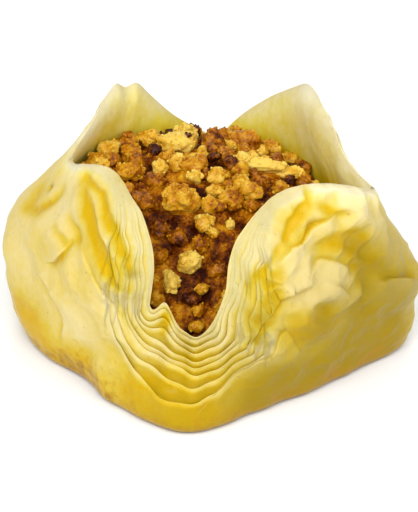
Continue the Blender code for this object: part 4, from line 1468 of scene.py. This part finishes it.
class BAKLAVA_OT_nut_heap(bpy.types.Operator):
    """The walnut heap: its body, the large pieces and the small ones between them"""

    bl_idname = "baklava.nut_heap"
    bl_label = "Walnut heap"

    def execute(self, context):
        settings = context.scene.baklava_nuts
        colours = context.scene.baklava_colours
        syrupy = nut_material("syrupy walnut", colours, 0.0, 0.1, 0.04)
        walnut = nut_material("walnut", colours, 0.06, 0.25, 0.15)
        core = add_piece("nut_core", make_core(settings), syrupy)
        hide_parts("walnut_filling")
        add_piece("nut_pieces", make_large_nuts(), walnut)
        add_piece("nut_bits", make_small_nuts(settings), walnut)
        return {"FINISHED"}


class BAKLAVA_OT_nut_crumbs(bpy.types.Operator):
    """Loose walnut crumbs, scattered over the heap"""

    bl_idname = "baklava.nut_crumbs"
    bl_label = "Walnut crumbs"

    def execute(self, context):
        settings = context.scene.baklava_nuts
        material = nut_material("walnut crumbs", context.scene.baklava_colours, 0.0, 0.0, 0.15)
        surface = heap_surface(("nut_core", "nut_pieces", "nut_bits"))
        tree = crumb_tree(material)
        per_area = settings.crumb_density / (MM * MM)
        fine = {
            "Density": per_area,
            "Smallest": 0.4 * settings.crumb_size,
            "Largest": settings.crumb_size,
            "Fineness": 1,
            "Roughness": 0.2 * MM,
            "Seed": settings.seed,
        }
        coarse = {
            "Density": 0.05 * per_area,
            "Smallest": settings.crumb_size,
            "Largest": 1.6 * settings.crumb_size,
            "Fineness": 2,
            "Roughness": 0.45 * MM,
            "Seed": settings.seed + 1,
        }
        for name, values in (("nut_crumbs_fine", fine), ("nut_crumbs_coarse", coarse)):
            mesh = scatter_crumbs(name, surface, tree, values)
            add_piece(name, mesh, material)
        return {"FINISHED"}


class BAKLAVA_OT_stage(bpy.types.Operator):
    """The floor, the soft lights and the camera"""

    bl_idname = "baklava.stage"
    bl_label = "Stage"

    def execute(self, context):
        scene = context.scene
        make_floor(scene.baklava_colours)
        make_lights(scene)
        make_camera(scene)
        scene.view_settings.view_transform = "Standard"
        return {"FINISHED"}


CAMERA_AZIMUTH = math.radians(-37.0)
CAMERA_ELEVATION = math.radians(30.3)
CAMERA_DISTANCE = 450.0 * MM
PIXEL = 0.153 * MM
PICTURE_HEIGHT = 512
SENSOR = 36.0
AIM_HEIGHT = 14.0 * MM
AIM_LEFT = 2.0 * PIXEL
AIM_DOWN = 3.0 * PIXEL


def make_camera(scene):
    azimuth, elevation = CAMERA_AZIMUTH, CAMERA_ELEVATION
    right = Vector((math.cos(azimuth), math.sin(azimuth), 0.0))
    ahead = Vector((-math.sin(azimuth), math.cos(azimuth), 0.0)) * math.cos(elevation)
    ahead.z = -math.sin(elevation)
    up = right.cross(ahead)
    target = Vector((*AXIS, AIM_HEIGHT)) - right * AIM_LEFT - up * AIM_DOWN
    data = bpy.data.cameras.new("camera")
    data.sensor_fit = "AUTO"
    data.sensor_width = SENSOR
    data.lens = CAMERA_DISTANCE / PIXEL / PICTURE_HEIGHT * SENSOR
    data.clip_start = 0.01
    camera = bpy.data.objects.new("camera", data)
    place = Matrix((right, up, -ahead)).transposed().to_4x4()
    place.translation = target - ahead * CAMERA_DISTANCE
    camera.matrix_world = place
    scene.collection.objects.link(camera)
    scene.camera = camera


def make_floor(colours):
    bm = bmesh.new()
    bmesh.ops.create_grid(bm, x_segments=1, y_segments=1, size=1.5)
    mesh = bpy.data.meshes.new("floor")
    bm.to_mesh(mesh)
    bm.free()
    floor = bpy.data.objects.new("floor", mesh)
    nodes = Nodes("floor")
    nodes.shader({"Base Color": colours.floor, "Roughness": 0.8})
    mesh.materials.append(nodes.material)
    bpy.context.scene.collection.objects.link(floor)


def make_lights(scene):
    for name, place, power, size in (
        ("key", (-0.40, -0.24, 0.52), 3.1, 0.4),
        ("fill", (-0.1, -0.5, 0.46), 2.4, 0.5),
        ("back", (0.35, 0.45, 0.5), 1.1, 0.4),
    ):
        data = bpy.data.lights.new(name, "AREA")
        data.energy = power
        data.size = size
        light = bpy.data.objects.new(name, data)
        light.location = place
        aim = Vector((0.0, 0.0, 0.015)) - Vector(place)
        light.rotation_euler = aim.to_track_quat("-Z", "Y").to_euler()
        scene.collection.objects.link(light)
    world = bpy.data.worlds.new("soft light")
    world.use_nodes = True
    background = world.node_tree.nodes["Background"]
    background.inputs["Color"].default_value = (1.0, 0.98, 0.93, 1.0)
    background.inputs["Strength"].default_value = 0.6
    scene.world = world


class BAKLAVA_PT_sidebar(bpy.types.Panel):
    """The pieces of the pouch, their sizes and colours"""

    bl_idname = "BAKLAVA_PT_sidebar"
    bl_label = "Walnut baklava pouch"
    bl_space_type = "VIEW_3D"
    bl_region_type = "UI"
    bl_category = "Baklava"

    def draw(self, context):
        layout = self.layout
        scene = context.scene
        for group in (scene.baklava_filo, scene.baklava_nuts, scene.baklava_colours):
            box = layout.box()
            for name in group.bl_rna.properties.keys():
                if name not in ("rna_type", "name"):
                    box.prop(group, name)
        for operator in OPERATORS:
            layout.operator(operator.bl_idname)


OPERATORS = (BAKLAVA_OT_filo_sheets, BAKLAVA_OT_nut_heap, BAKLAVA_OT_nut_crumbs, BAKLAVA_OT_stage)
CLASSES = (FiloSettings, NutSettings, ColourSettings, *OPERATORS, BAKLAVA_PT_sidebar)


def register():
    for each in CLASSES:
        bpy.utils.register_class(each)
    bpy.types.Scene.baklava_filo = bpy.props.PointerProperty(type=FiloSettings)
    bpy.types.Scene.baklava_nuts = bpy.props.PointerProperty(type=NutSettings)
    bpy.types.Scene.baklava_colours = bpy.props.PointerProperty(type=ColourSettings)


def unregister():
    del bpy.types.Scene.baklava_filo
    del bpy.types.Scene.baklava_nuts
    del bpy.types.Scene.baklava_colours
    for each in reversed(CLASSES):
        bpy.utils.unregister_class(each)


def main():
    register()
    bpy.ops.baklava.filo_sheets()
    bpy.ops.baklava.nut_heap()
    bpy.ops.baklava.nut_crumbs()
    bpy.ops.baklava.stage()


if __name__ == "__main__":
    main()
